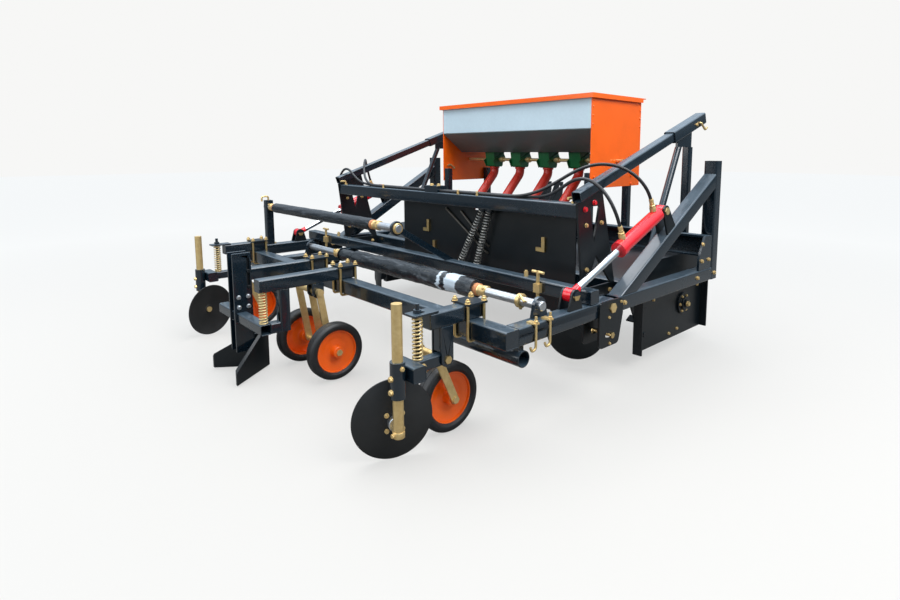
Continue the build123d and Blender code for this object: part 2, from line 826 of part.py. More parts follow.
# Ridge formers: a dished blade on a shank under each end of the hood beam
former_way = Vector(-cos(radians(former_toe)), sin(radians(former_toe)), 0)
with BuildPart() as former_blade:
    with BuildSketch(Plane.XZ):
        with BuildLine():
            Line((0, 0), (0, former_sheet))
            ThreePointArc((0, former_sheet), (former_radius / 2, former_sheet + former_dish / 4),
                          (former_radius, former_sheet + former_dish))
            Line((former_radius, former_sheet + former_dish), (former_radius, former_dish))
            ThreePointArc((former_radius, former_dish), (former_radius / 2, former_dish / 4), (0, 0))
        make_face()
    revolve(axis=Axis.Z)
blade_plane = Plane(origin=(former_x, former_y, former_z), z_dir=former_way)
boss_back = Vector(former_x, former_y, former_z) + former_way * (former_sheet + former_boss)
with BuildPart() as former:
    add(former_blade.part.moved(Location(blade_plane)))
    with BuildSketch(Plane(origin=(former_x, former_y, former_z), z_dir=former_way)):
        Circle(former_boss)
    extrude(amount=former_sheet + former_boss)
    with BuildSketch(Plane.YZ.offset(boss_back.X - former_shank / 2)):
        with BuildLine():
            Polyline((boss_back.Y - former_shank, former_z - former_boss), (boss_back.Y + former_boss, former_z - former_boss),
                     (hood_beam_y + former_shank_width / 2, rail_foot), (hood_beam_y - former_shank_width / 2, rail_foot),
                     (boss_back.Y - former_shank, former_z + former_boss), close=True)
        make_face()
    extrude(amount=former_shank)
node("ridge_formers", *both_sides([former.part]))

# Sloped arms with their sleeves, and the struts that carry them
sloped_arm_x = end_plate_x + end_plate_thickness / 2
sleeve_wall = 6.0
sleeve_share = 0.70
sleeve_fit = 0.5
arm_run_y = sloped_arm_front_y - sloped_arm_rear_y
arm_run_z = sloped_arm_front_z - sloped_arm_rear_z
sleeve_outer = sloped_arm_size + 2 * (sleeve_fit + sleeve_wall)
sloped_arm = straight_tube((sloped_arm_x, sloped_arm_rear_y, sloped_arm_rear_z),
                           (sloped_arm_x, sloped_arm_front_y, sloped_arm_front_z),
                           sloped_arm_size, sloped_arm_size, sloped_arm_wall)
arm_sleeve = straight_tube(
    (sloped_arm_x, sloped_arm_rear_y + sleeve_share * arm_run_y, sloped_arm_rear_z + sleeve_share * arm_run_z),
    (sloped_arm_x, sloped_arm_front_y, sloped_arm_front_z), sleeve_outer, sleeve_outer, sleeve_wall)
strut_size = 44.0
strut_y = 985.0
strut_rear_foot_y = 580.0
strut_rear_radius = 18.0
bracket_plate = 14.0
bracket_drop = 84.0
bracket_rear_y = strut_y - 130.0
bracket_front_y = strut_y + 30.0


def sleeve_underside(y):
    """The height of the sleeve's lower face at a station along the machine."""
    return arm_underside(y) - (sleeve_outer - sloped_arm_size) / 2 / cos(arm_slope)


strut_top = sleeve_underside(bracket_rear_y) - bracket_drop / 2
strut_bracket = side_plate(
    [(bracket_rear_y, strut_top), (bracket_front_y, strut_top), (bracket_front_y, sleeve_underside(bracket_front_y)),
     (bracket_rear_y, sleeve_underside(bracket_rear_y))],
    sloped_arm_x - bracket_plate / 2, bracket_plate)
front_strut = straight_tube((sloped_arm_x, strut_y, hood_top_z), (sloped_arm_x, strut_y, strut_top),
                            strut_size, strut_size, sloped_arm_wall)
with BuildPart() as rear_strut:
    add(round_bar((sloped_arm_x, strut_rear_foot_y - 20.0, hood_top_z - 60.0),
                  (sloped_arm_x, bracket_rear_y + 50.0, strut_top + 60.0), strut_rear_radius))
    split(bisect_by=Plane.XY.offset(hood_top_z), keep=Keep.TOP)
    split(bisect_by=Plane.XY.offset(strut_top), keep=Keep.BOTTOM)
node("sloped_arms", *both_sides([sloped_arm, arm_sleeve, strut_bracket, front_strut, rear_strut.part]))

# Hopper
leg_rear_y = 636.0
leg_front_y = 1042.0
leg_x = hopper_half_length - end_sheet - leg_size / 2


def leg(y):
    """One hopper leg, from the hood up the inside of the end plate."""
    return straight_tube((leg_x, y, hood_top_z), (leg_x, y, hopper_end_foot + 2 * leg_size), leg_size, leg_size,
                         sloped_arm_wall)


node("hopper_legs", *both_sides([leg(leg_rear_y), leg(leg_front_y)]))

meter_y = (hopper_floor_rear_y + hopper_floor_front_y) / 2
meter_shaft_z = hopper_floor_z - meter_height / 2
hopper_end = side_plate(
    [(hopper_rear_y, hopper_end_foot), (hopper_front_y, hopper_end_foot), (hopper_front_y, hopper_top),
     (hopper_rear_y, hopper_top)],
    hopper_half_length - end_sheet, end_sheet, [(meter_y, meter_shaft_z, meter_shaft_radius + pin_clearance)])
node("hopper_ends", *both_sides([hopper_end]))

inner_half = hopper_half_length - end_sheet
rear_wall = side_plate(folded([(hopper_rear_y, hopper_top), (hopper_rear_y, hopper_break_z)], hopper_sheet),
                       -inner_half, 2 * inner_half)
front_wall = side_plate(folded([(hopper_front_y, hopper_break_z), (hopper_front_y, hopper_top)], hopper_sheet),
                        -inner_half, 2 * inner_half)
lid_hinge_y = hopper_front_y + 22.0
lid_hinge_z = hopper_top - 10.0
lid_hinge_radius = 5.0
knuckle_radius = 9.0
knuckle_length = 70.0
knuckle_gap = 1.0
with BuildPart() as hinge_leaf:
    with BuildSketch(Plane.YZ.offset(-knuckle_length / 2)):
        with BuildLine():
            Polyline((hopper_front_y, lid_hinge_z - 40.0), (lid_hinge_y - 4.0, lid_hinge_z - 6.0),
                     (lid_hinge_y - 4.0, lid_hinge_z + 4.0), (hopper_front_y, lid_hinge_z + 4.0), close=True)
        make_face()
        with Locations((lid_hinge_y, lid_hinge_z)):
            Circle(knuckle_radius)
            Circle(lid_hinge_radius, mode=Mode.SUBTRACT)
    extrude(amount=knuckle_length)
leaf_places = (-420.0, 420.0)
hinge_leaves = [hinge_leaf.part.moved(Location((place, 0, 0))) for place in leaf_places]
lid_rod_half = max(leaf_places) + 1.6 * knuckle_length
lid_rod = round_bar((-lid_rod_half, lid_hinge_y, lid_hinge_z), (lid_rod_half, lid_hinge_y, lid_hinge_z),
                    lid_hinge_radius)
node("hopper_upper_walls", rear_wall, front_wall, *hinge_leaves, lid_rod)

meter_places = [(place - (meter_count - 1) / 2) * meter_pitch for place in range(meter_count)]
outlet_length = 60.0
with BuildPart() as lower_walls:
    with BuildSketch(Plane.YZ.offset(-inner_half)):
        with BuildLine():
            Polyline(*folded([(hopper_rear_y, hopper_break_z - hopper_sheet), (hopper_floor_rear_y, hopper_floor_z),
                              (hopper_floor_front_y, hopper_floor_z), (hopper_front_y, hopper_break_z - hopper_sheet)],
                             hopper_sheet), close=True)
        make_face()
    extrude(amount=2 * inner_half)
    with Locations(*[(place, meter_y, hopper_floor_z) for place in meter_places]):
        Box(outlet_length, outlet_length, 4 * hopper_sheet, mode=Mode.SUBTRACT)
node("hopper_lower_walls", lower_walls.part)

lid_rear_y = hopper_rear_y - lid_overhang
lid_half_length = hopper_half_length + lid_overhang
with BuildPart() as hopper_lid:
    with BuildSketch(Plane.YZ.offset(-lid_half_length)):
        with BuildLine():
            Polyline(*folded([(lid_rear_y, hopper_top - lid_skirt), (lid_rear_y, hopper_top + lid_sheet),
                              (lid_hinge_y, hopper_top + lid_sheet)], -lid_sheet), close=True)
        make_face()
    extrude(amount=2 * lid_half_length)
    with BuildSketch(Plane.YZ.offset(-lid_half_length), Plane.YZ.offset(lid_half_length - lid_sheet)):
        with BuildLine():
            Polyline((lid_rear_y, hopper_top - lid_skirt), (lid_hinge_y - 30.0, hopper_top - lid_skirt),
                     (lid_hinge_y - 30.0, hopper_top), (lid_rear_y, hopper_top), close=True)
        make_face()
    extrude(amount=lid_sheet)
    for place in leaf_places:
        shift = knuckle_length + knuckle_gap
        with BuildSketch(Plane.YZ.offset(place - shift - knuckle_length / 2),
                         Plane.YZ.offset(place + shift - knuckle_length / 2)):
            with BuildLine():
                Polyline((lid_hinge_y - knuckle_radius, hopper_top + lid_sheet),
                         (lid_hinge_y - knuckle_radius, lid_hinge_z), (lid_hinge_y + knuckle_radius, lid_hinge_z),
                         (lid_hinge_y + knuckle_radius / 2, hopper_top + lid_sheet), close=True)
            make_face()
            with Locations((lid_hinge_y, lid_hinge_z)):
                Circle(knuckle_radius)
                Circle(lid_hinge_radius + pin_clearance, mode=Mode.SUBTRACT)
        extrude(amount=knuckle_length)
node("hopper_lid", hopper_lid.part)

# Metering boxes, their shaft and the drop tubes
meter_foot_z = hopper_floor_z - meter_height
with BuildPart() as meter_box:
    with BuildSketch(Plane.YZ.offset(-meter_width / 2)) as meter_face:
        with BuildLine():
            Polyline((meter_y - meter_depth / 2, hopper_floor_z), (meter_y + meter_depth / 2, hopper_floor_z),
                     (meter_y + meter_depth / 3, meter_foot_z), (meter_y - meter_depth / 3, meter_foot_z), close=True)
        make_face()
        fillet(meter_face.vertices().group_by(Axis.Y)[0], 16.0)
        with Locations((meter_y, meter_shaft_z)):
            Circle(meter_shaft_radius + pin_clearance, mode=Mode.SUBTRACT)
    extrude(amount=meter_width)
    with BuildSketch(Plane.YZ.offset(-meter_width / 2 - 6.0), Plane.YZ.offset(meter_width / 2)):
        with Locations((meter_y, meter_shaft_z)):
            Rectangle(meter_depth * 1.1, meter_height * 0.5, rotation=28.0)
            Circle(meter_shaft_radius + pin_clearance, mode=Mode.SUBTRACT)
    extrude(amount=6.0)
node("meter_boxes", *[meter_box.part.moved(Location((place, 0, 0))) for place in meter_places])

shaft_half = hopper_half_length + 46.0
collar_radius = 19.0
collar_length = 26.0
with BuildPart() as metering_shaft:
    with BuildSketch(Plane.YZ.offset(-shaft_half)):
        with Locations((meter_y, meter_shaft_z)):
            Circle(meter_shaft_radius)
    extrude(amount=2 * shaft_half)
    for place in meter_places:
        with BuildSketch(Plane.YZ.offset(place + meter_width / 2 + 24.0)):
            with Locations((meter_y, meter_shaft_z)):
                RegularPolygon(collar_radius, 8)
        extrude(amount=collar_length)
node("metering_shaft", metering_shaft.part)


def drop_tube(x):
    """A drop tube: a flange under its metering box, a short neck, a bend and the slanting run to the hood."""
    with BuildPart() as tube:
        with BuildLine():
            FilletPolyline((x, meter_y, meter_foot_z), (x, meter_y, meter_foot_z - drop_neck),
                           (x, drop_end_y, drop_end_z), radius=drop_bend)
        with BuildSketch(Plane.XY.offset(meter_foot_z)):
            with Locations((x, meter_y)):
                Circle(tube_radius)
                Circle(tube_radius - tube_wall, mode=Mode.SUBTRACT)
        sweep()
        with BuildSketch(Plane.XY.offset(meter_foot_z - drop_flange)):
            with Locations((x, meter_y)):
                Circle(tube_radius + drop_flange / 2)
                Circle(tube_radius, mode=Mode.SUBTRACT)
        extrude(amount=drop_flange)
    return tube.part


node("drop_tubes", *[drop_tube(place) for place in meter_places])

# Lift cylinders: each barrel hangs from its upper eye, and its rod ends in an eye at the clevis
cylinder_run = Vector(0, clevis_y - upper_eye_y, clevis_z - upper_eye_z)
cylinder_length = cylinder_run.length
cylinder_way = cylinder_run.normalized()
port_way = Vector(0, cylinder_way.Z, -cylinder_way.Y)


def on_cylinder(distance, height=0.0):
    """A point on the right cylinder, at a distance from its upper eye and a height over its axis."""
    return Vector(rail_x, upper_eye_y, upper_eye_z) + cylinder_way * distance + port_way * height


with BuildPart() as barrel:
    with BuildSketch(Plane.YZ.offset(rail_x - eye_width / 2)):
        with Locations((upper_eye_y, upper_eye_z)):
            Circle(eye_radius)
    extrude(amount=eye_width)
    with BuildSketch(Plane(origin=on_cylinder(0), z_dir=cylinder_way)):
        Circle(neck_radius)
    extrude(amount=barrel_start + gland_length)
    with BuildSketch(Plane(origin=on_cylinder(barrel_start), z_dir=cylinder_way)):
        Circle(barrel_radius)
    extrude(amount=barrel_length - barrel_start)
    with BuildSketch(Plane(origin=on_cylinder(barrel_length - gland_length), z_dir=cylinder_way)):
        Circle(gland_radius)
    extrude(amount=gland_length)
    for port in (upper_port, lower_port):
        with BuildSketch(Plane(origin=on_cylinder(port), z_dir=port_way)):
            Circle(port_radius)
        extrude(amount=port_height)
    with BuildSketch(Plane(origin=on_cylinder(bore_start), z_dir=cylinder_way)):
        Circle(barrel_bore)
    extrude(amount=barrel_length - gland_length - bore_start, mode=Mode.SUBTRACT)
    with BuildSketch(Plane(origin=on_cylinder(barrel_length), z_dir=-cylinder_way)):
        Circle(rod_radius + pin_clearance)
    extrude(amount=gland_length, mode=Mode.SUBTRACT)
    with BuildSketch(Plane.YZ.offset(rail_x - eye_width / 2)):
        with Locations((upper_eye_y, upper_eye_z)):
            Circle(cylinder_pin_radius + pin_clearance)
    extrude(amount=eye_width, mode=Mode.SUBTRACT)
node("right_barrel", barrel.part)
node("left_barrel", other_side(barrel.part))

with BuildPart() as piston_rod:
    with BuildSketch(Plane(origin=on_cylinder(barrel_length - rod_inside), z_dir=cylinder_way)):
        Circle(rod_radius)
    extrude(amount=cylinder_length - barrel_length + rod_inside)
    with BuildSketch(Plane(origin=on_cylinder(barrel_length - rod_inside), z_dir=cylinder_way)):
        Circle(barrel_bore - piston_gap)
    extrude(amount=piston_length)
    with BuildSketch(Plane.YZ.offset(rail_x - eye_width / 2)):
        with Locations((clevis_y, clevis_z)):
            Circle(eye_radius)
    extrude(amount=eye_width)
    with BuildSketch(Plane.YZ.offset(rail_x - eye_width / 2)):
        with Locations((clevis_y, clevis_z)):
            Circle(cylinder_pin_radius + open_eye_play)
    extrude(amount=eye_width, mode=Mode.SUBTRACT)
node("right_rod", piston_rod.part)
node("left_rod", other_side(piston_rod.part))

# Rear frame: side arms on the hinge pins, rear beam, cross bar and inner rail
rear_beam_front = rear_beam_y + rail_size / 2
with BuildPart() as side_arm:
    add(straight_tube((rail_x, rear_beam_front, rail_z), (rail_x, rear_arm_end, rail_z), rail_size, rail_size,
                      rail_wall))
    with BuildSketch(Plane.YZ.offset(rail_inner_x)):
        with Locations((hinge_y, rail_z)):
            Circle(hinge_bush_radius)
    extrude(amount=rail_size)
    with BuildSketch(Plane.YZ.offset(rail_inner_x)):
        with Locations((hinge_y, rail_z)):
            Circle(hinge_pin_radius + pin_clearance)
    extrude(amount=rail_size, mode=Mode.SUBTRACT)
rear_beam = straight_tube((-frame_half_width, rear_beam_y, rail_z), (frame_half_width, rear_beam_y, rail_z),
                          rail_size, rail_size, rail_wall)
cross_bar = straight_tube((-frame_half_width, cross_bar_y, arm_z), (frame_half_width, cross_bar_y, arm_z),
                          arm_size, arm_size, arm_wall)
inner_rail = straight_tube((inner_rail_x, rear_beam_front, rail_z), (inner_rail_x, cross_bar_y + arm_size / 2, rail_z),
                           rail_size, rail_size, rail_wall)
node("rear_frame_tubes", *both_sides([side_arm.part]), rear_beam, cross_bar, inner_rail)


def standing_lug(x_start, thickness, foot_z, foot_half, y, z, head, bore):
    """A lug plate from a flat seat to a round head about a bore; it stands or hangs by the seat's height."""
    with BuildPart() as plate:
        with BuildSketch(Plane.YZ.offset(x_start)):
            with BuildLine():
                Polyline((y - foot_half, foot_z), (y + foot_half, foot_z), (y + head, z), (y - head, z), close=True)
            make_face()
            with Locations((y, z)):
                Circle(head)
                Circle(bore, mode=Mode.SUBTRACT)
        extrude(amount=thickness)
    return plate.part


clevis_plates = [standing_lug(x, lug_thickness, rail_top, clevis_half, clevis_y, clevis_z, eye_radius,
                              cylinder_pin_radius) for x in (lug_inner_x, lug_outer_x)]
stop_ear = standing_lug(rail_x - stop_ear_thickness / 2, stop_ear_thickness, rail_foot, stop_ear_half, stop_y, stop_z,
                        stop_ear_radius, stop_bolt_radius)
node("clevis_lugs", *both_sides(clevis_plates + [stop_ear]))

# Arms on the rear beam, with the posts that carry the disc units, the wheel pair and the share
post_foot_z = unit_pivot_z + lower_arm_height / 2 + post_foot_gap
unit_arm = straight_tube((unit_x, unit_arm_rear_y, arm_z), (unit_x, unit_arm_front_y, arm_z), arm_size, arm_size,
                         arm_wall)
unit_post = straight_tube((unit_x, unit_post_y, post_foot_z), (unit_x, unit_post_y, rail_top), post_width, post_depth,
                          arm_wall)
post_ears = [standing_lug(x, ear_thickness, rail_top, post_depth / 2, unit_post_y, unit_pivot_z, post_depth / 2,
                          unit_pin_radius)
             for x in (unit_x - post_width / 2 - ear_thickness, unit_x + post_width / 2)]
rod_reach = unit_post_y - unit_spring_y
rod_rise = arm_top + seat_thickness - unit_pivot_z
slot_rear = unit_spring_y - spring_rod_radius - rod_play
slot_front = (unit_post_y - rod_reach * cos(radians(swing_angle)) + rod_rise * sin(radians(swing_angle))
              + spring_rod_radius + rod_play)
with BuildPart() as spring_seat:
    with BuildSketch(Plane.XY.offset(arm_top)):
        with Locations((unit_x, (seat_rear_y + seat_front_y) / 2)):
            Rectangle(arm_size, seat_front_y - seat_rear_y)
        with Locations((unit_x, (slot_rear + slot_front) / 2)):
            SlotOverall(slot_front - slot_rear, 2 * (spring_rod_radius + rod_play), rotation=90, mode=Mode.SUBTRACT)
    extrude(amount=seat_thickness)
share_tube_front = share_tube_y + share_tube_size / 2
share_tube_top = share_tube_z + share_tube_size / 2
centre_arm = straight_tube((centre_arm_x, centre_arm_rear_y, arm_z), (centre_arm_x, unit_arm_front_y, arm_z),
                           arm_size, arm_size, arm_wall)
centre_post = straight_tube((centre_arm_x, centre_post_y, share_tube_z - share_tube_size / 2),
                            (centre_arm_x, centre_post_y, rail_top), centre_post_size, centre_post_size, arm_wall)
centre_link = straight_tube((centre_arm_x, share_tube_front, share_tube_z),
                            (centre_arm_x, centre_post_y - centre_post_size / 2, share_tube_z),
                            share_tube_size, share_tube_size, arm_wall)
pivot_ears = [standing_lug(x, ear_thickness, rail_top, bracket_half, centre_pivot_y, centre_pivot_z, bracket_half,
                           centre_pivot_radius + pin_clearance)
              for x in (centre_arm_x - arm_size / 2, centre_arm_x + arm_size / 2 - ear_thickness)]
share_arm = straight_tube((share_x, share_plate_front_y, arm_z), (share_x, unit_arm_front_y, arm_z), arm_size,
                          arm_size, arm_wall)
node("unit_arms", *both_sides([unit_arm, unit_post, *post_ears, spring_seat.part]), centre_arm, centre_post,
     centre_link, *pivot_ears, share_arm)

# Share bracket: two slotted plates on the share arm, with the square tube through them
share_plate_rear = share_plate_front_y - share_plate_depth
share_shank_y = share_plate_front_y - share_shank_gap - share_shank_depth / 2
share_slot_foot = min(share_bolt_zs) - share_bolt_radius - share_slot_play
share_slot_top = max(share_bolt_zs) + share_travel + share_bolt_radius + share_slot_play


def bracket_side(x_start):
    """One plate of the share bracket, with the bolts' slot and the square hole for the tube."""
    with BuildPart() as plate:
        with BuildSketch(Plane.YZ.offset(x_start)):
            with Locations(((share_plate_rear + share_plate_front_y) / 2, (share_plate_foot + share_plate_top) / 2)):
                Rectangle(share_plate_depth, share_plate_top - share_plate_foot)
            with Locations((share_tube_y, share_tube_z)):
                Rectangle(share_tube_size, share_tube_size, mode=Mode.SUBTRACT)
            with Locations((share_shank_y, (share_slot_foot + share_slot_top) / 2)):
                SlotOverall(share_slot_top - share_slot_foot, 2 * (share_bolt_radius + share_slot_play), rotation=90,
                            mode=Mode.SUBTRACT)
        extrude(amount=share_plate)
    return plate.part


share_tube = straight_tube((share_tube_left, share_tube_y, share_tube_z),
                           (centre_arm_x + share_tube_size / 2, share_tube_y, share_tube_z), share_tube_size,
                           share_tube_size, arm_wall)
bracket_left_x = share_x - share_plate_gap / 2 - share_plate
bracket_right_x = share_x + share_plate_gap / 2
node("share_bracket", bracket_side(bracket_left_x), bracket_side(bracket_right_x), share_tube)

# Ridging share: two leaning wings on a shank that slides between the bracket plates
with BuildPart() as share:
    with BuildSketch(Plane.XY.offset(share_foot_z)):
        with BuildLine():
            Polyline((share_x, share_nose_y), (share_x + share_span, share_tip_y),
                     (share_x + share_span - 2 * share_sheet, share_tip_y), (share_x, share_nose_y - 3 * share_sheet),
                     (share_x - share_span + 2 * share_sheet, share_tip_y), (share_x - share_span, share_tip_y),
                     close=True)
        make_face()
    extrude(amount=share_height)
    with BuildSketch(Plane.XZ.offset(-share_nose_y - share_sheet)):
        with BuildLine():
            Polyline((share_x - share_span, share_foot_z), (share_x + share_span, share_foot_z),
                     (share_x + share_span, share_foot_z + share_tip_height),
                     (share_x + share_shank_width / 2, share_foot_z + share_height),
                     (share_x - share_shank_width / 2, share_foot_z + share_height),
                     (share_x - share_span, share_foot_z + share_tip_height), close=True)
        make_face()
    extrude(amount=share_nose_y - share_tip_y + 2 * share_sheet, mode=Mode.INTERSECT)
    with BuildSketch(Plane.XY.offset(share_foot_z)):
        with Locations((share_x, (share_nose_y - 2 * share_sheet + share_shank_y) / 2)):
            Rectangle(2 * share_sheet, share_nose_y - 2 * share_sheet - share_shank_y)
    extrude(amount=share_height - share_sheet)
    with BuildSketch(Plane.XY.offset(share_foot_z + share_sheet)):
        with Locations((share_x, share_shank_y)):
            Rectangle(share_shank_width, share_shank_depth)
    extrude(amount=share_shank_top - share_foot_z - share_sheet)
share_bolts = [headed_pin(bracket_left_x - quadrant_side_gap, bracket_right_x + share_plate + quadrant_side_gap,
                          share_shank_y, z, share_bolt_radius) for z in share_bolt_zs]
with BuildPart() as share_with_bolts:
    add(share.part)
    add(share_bolts)
node("share", share_with_bolts.part)

# Roll brackets: two cradles for the near roll, a post and a ringed arm for the upper roll
right_cradle = standing_lug(near_cradle_right, cradle_plate, rail_top, clevis_half, near_roll_y, near_roll_z,
                            cradle_head, roll_shaft_radius + pin_clearance)
left_cradle = standing_lug(near_cradle_left, cradle_plate, rail_top, clevis_half, near_roll_y, near_roll_z,
                           cradle_head, roll_shaft_radius + pin_clearance)
with BuildPart() as roll_post:
    add(straight_tube((-rail_x, upper_roll_y, rail_top), (-rail_x, upper_roll_y, upper_roll_z + roll_post_rise),
                      roll_post_size, roll_post_size, arm_wall))
    with BuildSketch(Plane.YZ.offset(-rail_x - roll_post_size / 2)):
        with Locations((upper_roll_y, upper_roll_z)):
            Circle(roll_shaft_radius + pin_clearance)
    extrude(amount=roll_post_size, mode=Mode.SUBTRACT)
ring_slope = atan2(upper_roll_z - arm_top, cross_bar_y - upper_roll_y)
ring_bar_half = arm_size / 2 * sin(ring_slope)
ring_side = Vector(ring_bar_half * sin(ring_slope), ring_bar_half * cos(ring_slope))
with BuildPart() as ring_arm:
    with BuildSketch(Plane.YZ.offset(ring_x)):
        with BuildLine():
            Polyline((cross_bar_y - arm_size / 2, arm_top), (cross_bar_y + arm_size / 2, arm_top),
                     (upper_roll_y + ring_side.X, upper_roll_z + ring_side.Y),
                     (upper_roll_y - ring_side.X, upper_roll_z - ring_side.Y), close=True)
        make_face()
        with Locations((upper_roll_y, upper_roll_z)):
            Circle(ring_radius)
            Circle(roll_shaft_radius + pin_clearance, mode=Mode.SUBTRACT)
    extrude(amount=cradle_plate)

# Guide pipes under the rear frame's corners, each on a hanger under the side rail
with BuildPart() as guide_pipe:
    add(round_bar((guide_pipe_inner_x, guide_pipe_y, guide_pipe_z), (rail_x + guide_hanger, guide_pipe_y, guide_pipe_z),
                  guide_pipe_radius))
    add(block((rail_x - guide_hanger / 2, guide_pipe_y - guide_hanger / 2, guide_pipe_z),
              (rail_x + guide_hanger / 2, guide_pipe_y + guide_hanger / 2, rail_foot)))
    with BuildSketch(Plane.YZ.offset(guide_pipe_inner_x)):
        with Locations((guide_pipe_y, guide_pipe_z)):
            Circle(guide_pipe_radius - guide_pipe_wall)
    extrude(amount=rail_x + guide_hanger - guide_pipe_inner_x, mode=Mode.SUBTRACT)
node("roll_brackets", right_cradle, left_cradle, roll_post.part, ring_arm.part, *both_sides([guide_pipe.part]))


def film_roll(left, right, radius, shaft_left, shaft_right, y, z):
    """A film roll on its shaft: the film, the ends of its core, a cone at each end and the bare shaft."""
    core = max(roll_shaft_radius + core_wall, radius - 3 * core_wall)
    cone_tip = roll_shaft_radius + core_wall / 2
    with BuildPart() as roll:
        with BuildSketch(Plane.XZ):
            with BuildLine():
                Polyline((shaft_left, 0), (shaft_left, roll_shaft_radius),
                         (left - core_overhang - cone_length, roll_shaft_radius),
                         (left - core_overhang - cone_length, cone_tip), (left - core_overhang, core - core_wall / 2),
                         (left - core_overhang, core), (left, core), (left, radius), (right, radius), (right, core),
                         (right + core_overhang, core), (right + core_overhang, core - core_wall / 2),
                         (right + core_overhang + cone_length, cone_tip),
                         (right + core_overhang + cone_length, roll_shaft_radius),
                         (shaft_right, roll_shaft_radius), (shaft_right, 0), close=True)
            make_face()
        revolve(axis=Axis.X)
    return roll.part.moved(Location((0, y, z)))


node("near_roll", film_roll(near_roll_left, near_roll_right, near_roll_radius, near_cradle_left - shaft_overhang,
                            near_cradle_right + cradle_plate + shaft_overhang, near_roll_y, near_roll_z))
node("upper_roll", film_roll(upper_roll_left, upper_roll_right, upper_roll_radius,
                             -rail_x - roll_post_size / 2 - shaft_overhang, ring_x + cradle_plate + shaft_overhang,
                             upper_roll_y, upper_roll_z))

# Disc units: a swinging lower arm with a sleeve, the shank in it, and the disc on the shank's stub axle
lower_arm_top = unit_pivot_z + lower_arm_height / 2
shank_y = toe_tube_y - toe_tube_size / 2 - sleeve_radius + sleeve_bite
rod_nut_foot = arm_top + seat_thickness + rod_nut_gap
with BuildPart() as lower_arm:
    add(straight_tube((unit_x, toe_tube_y + toe_tube_size / 2, unit_pivot_z),
                      (unit_x, unit_post_y + lower_arm_nose, unit_pivot_z), lower_arm_width, lower_arm_height,
                      lower_arm_wall))
    with BuildSketch(Plane.YZ.offset(unit_x - lower_arm_width / 2)):
        with Locations((unit_post_y, unit_pivot_z)):
            Circle(arm_bush_radius)
    extrude(amount=lower_arm_width)
    with BuildSketch(Plane.YZ.offset(unit_x - lower_arm_width / 2)):
        with Locations((unit_post_y, unit_pivot_z)):
            Circle(unit_pin_radius + pin_clearance)
    extrude(amount=lower_arm_width, mode=Mode.SUBTRACT)
    add(straight_tube((toe_tube_inner_x, toe_tube_y, unit_pivot_z), (toe_tube_outer_x, toe_tube_y, unit_pivot_z),
                      toe_tube_size, toe_tube_size, rail_wall))
    with BuildSketch(Plane.XY.offset(sleeve_bottom)):
        with Locations((shank_x, shank_y)):
            Circle(sleeve_radius)
    extrude(amount=sleeve_top - sleeve_bottom)
    with BuildSketch(Plane.XY.offset(sleeve_bottom)):
        with Locations((shank_x, shank_y)):
            Circle(shank_radius + pin_clearance)
    extrude(amount=sleeve_top - sleeve_bottom, mode=Mode.SUBTRACT)
    with BuildSketch(Plane.XY.offset(lower_arm_top - lower_arm_wall)):
        with Locations((unit_x, unit_spring_y)):
            Circle(spring_rod_radius)
    extrude(amount=rod_nut_foot + rod_nut_height + spring_rod_end - lower_arm_top + lower_arm_wall)
    with BuildSketch(Plane.XY.offset(rod_nut_foot)):
        with Locations((unit_x, unit_spring_y)):
            RegularPolygon(rod_nut_radius, 6)
    extrude(amount=rod_nut_height)
node("right_lower_arm", lower_arm.part)
node("left_lower_arm", other_side(lower_arm.part))

disc_way = Vector(-cos(radians(disc_toe)), sin(radians(disc_toe)), 0)
shank_point = Vector(shank_x, shank_y, disc_radius)
disc_plane = Plane(origin=shank_point + disc_way * hub_reach, z_dir=disc_way)
stub_end = hub_reach + hub_inboard + hub_side_gap
with BuildPart() as shank:
    with BuildSketch(Plane.XY.offset(shank_foot)):
        with Locations((shank_x, shank_y)):
            Circle(shank_radius)
    extrude(amount=shank_top - shank_foot)
    with BuildSketch(Plane(origin=shank_point, z_dir=disc_way)):
        Circle(stub_radius)
    extrude(amount=stub_end)
    with BuildSketch(Plane(origin=shank_point + disc_way * stub_end, z_dir=disc_way)):
        Circle(hub_cap_radius)
    extrude(amount=hub_cap_length)
node("right_shank", shank.part)
node("left_shank", other_side(shank.part))

disc_bore = stub_radius + pin_clearance
disc_belly = disc_dish / 4
with BuildPart() as disc:
    with BuildSketch(Plane.XZ):
        with BuildLine():
            Line((disc_bore, 0), (disc_bore, disc_sheet))
            ThreePointArc((disc_bore, disc_sheet), (disc_radius / 2, disc_sheet + disc_belly),
                          (disc_radius, disc_sheet + disc_dish))
            Line((disc_radius, disc_sheet + disc_dish), (disc_radius, disc_dish))
            ThreePointArc((disc_radius, disc_dish), (disc_radius / 2, disc_belly), (disc_bore, 0))
        make_face()
        with Locations(((disc_bore + hub_radius) / 2, (hub_inboard - hub_outboard) / 2)):
            Rectangle(hub_radius - disc_bore, hub_inboard + hub_outboard)
    revolve(axis=Axis.Z)
right_disc = disc.part.moved(Location(disc_plane))
node("right_disc", right_disc)
node("left_disc", other_side(right_disc))

# Wheel forks and wheels
fork_inner_x = wheel_x - tyre_width / 2 - fork_gap - fork_bar
fork_outer_x = wheel_x + tyre_width / 2 + fork_gap


def fork_side(x_start, pivot_y, pivot_z, axle_y, bore):
    """One flat bar of a fork, round about its pivot and about the axle."""
    with BuildPart() as bar:
        with BuildSketch(Plane.YZ.offset(x_start)):
            with Locations((pivot_y, pivot_z), (axle_y, wheel_radius)):
                Circle(fork_end_radius)
            make_hull()
            if bore:
                with Locations((pivot_y, pivot_z)):
                    Circle(bore, mode=Mode.SUBTRACT)
        extrude(amount=fork_bar)
    return bar.part


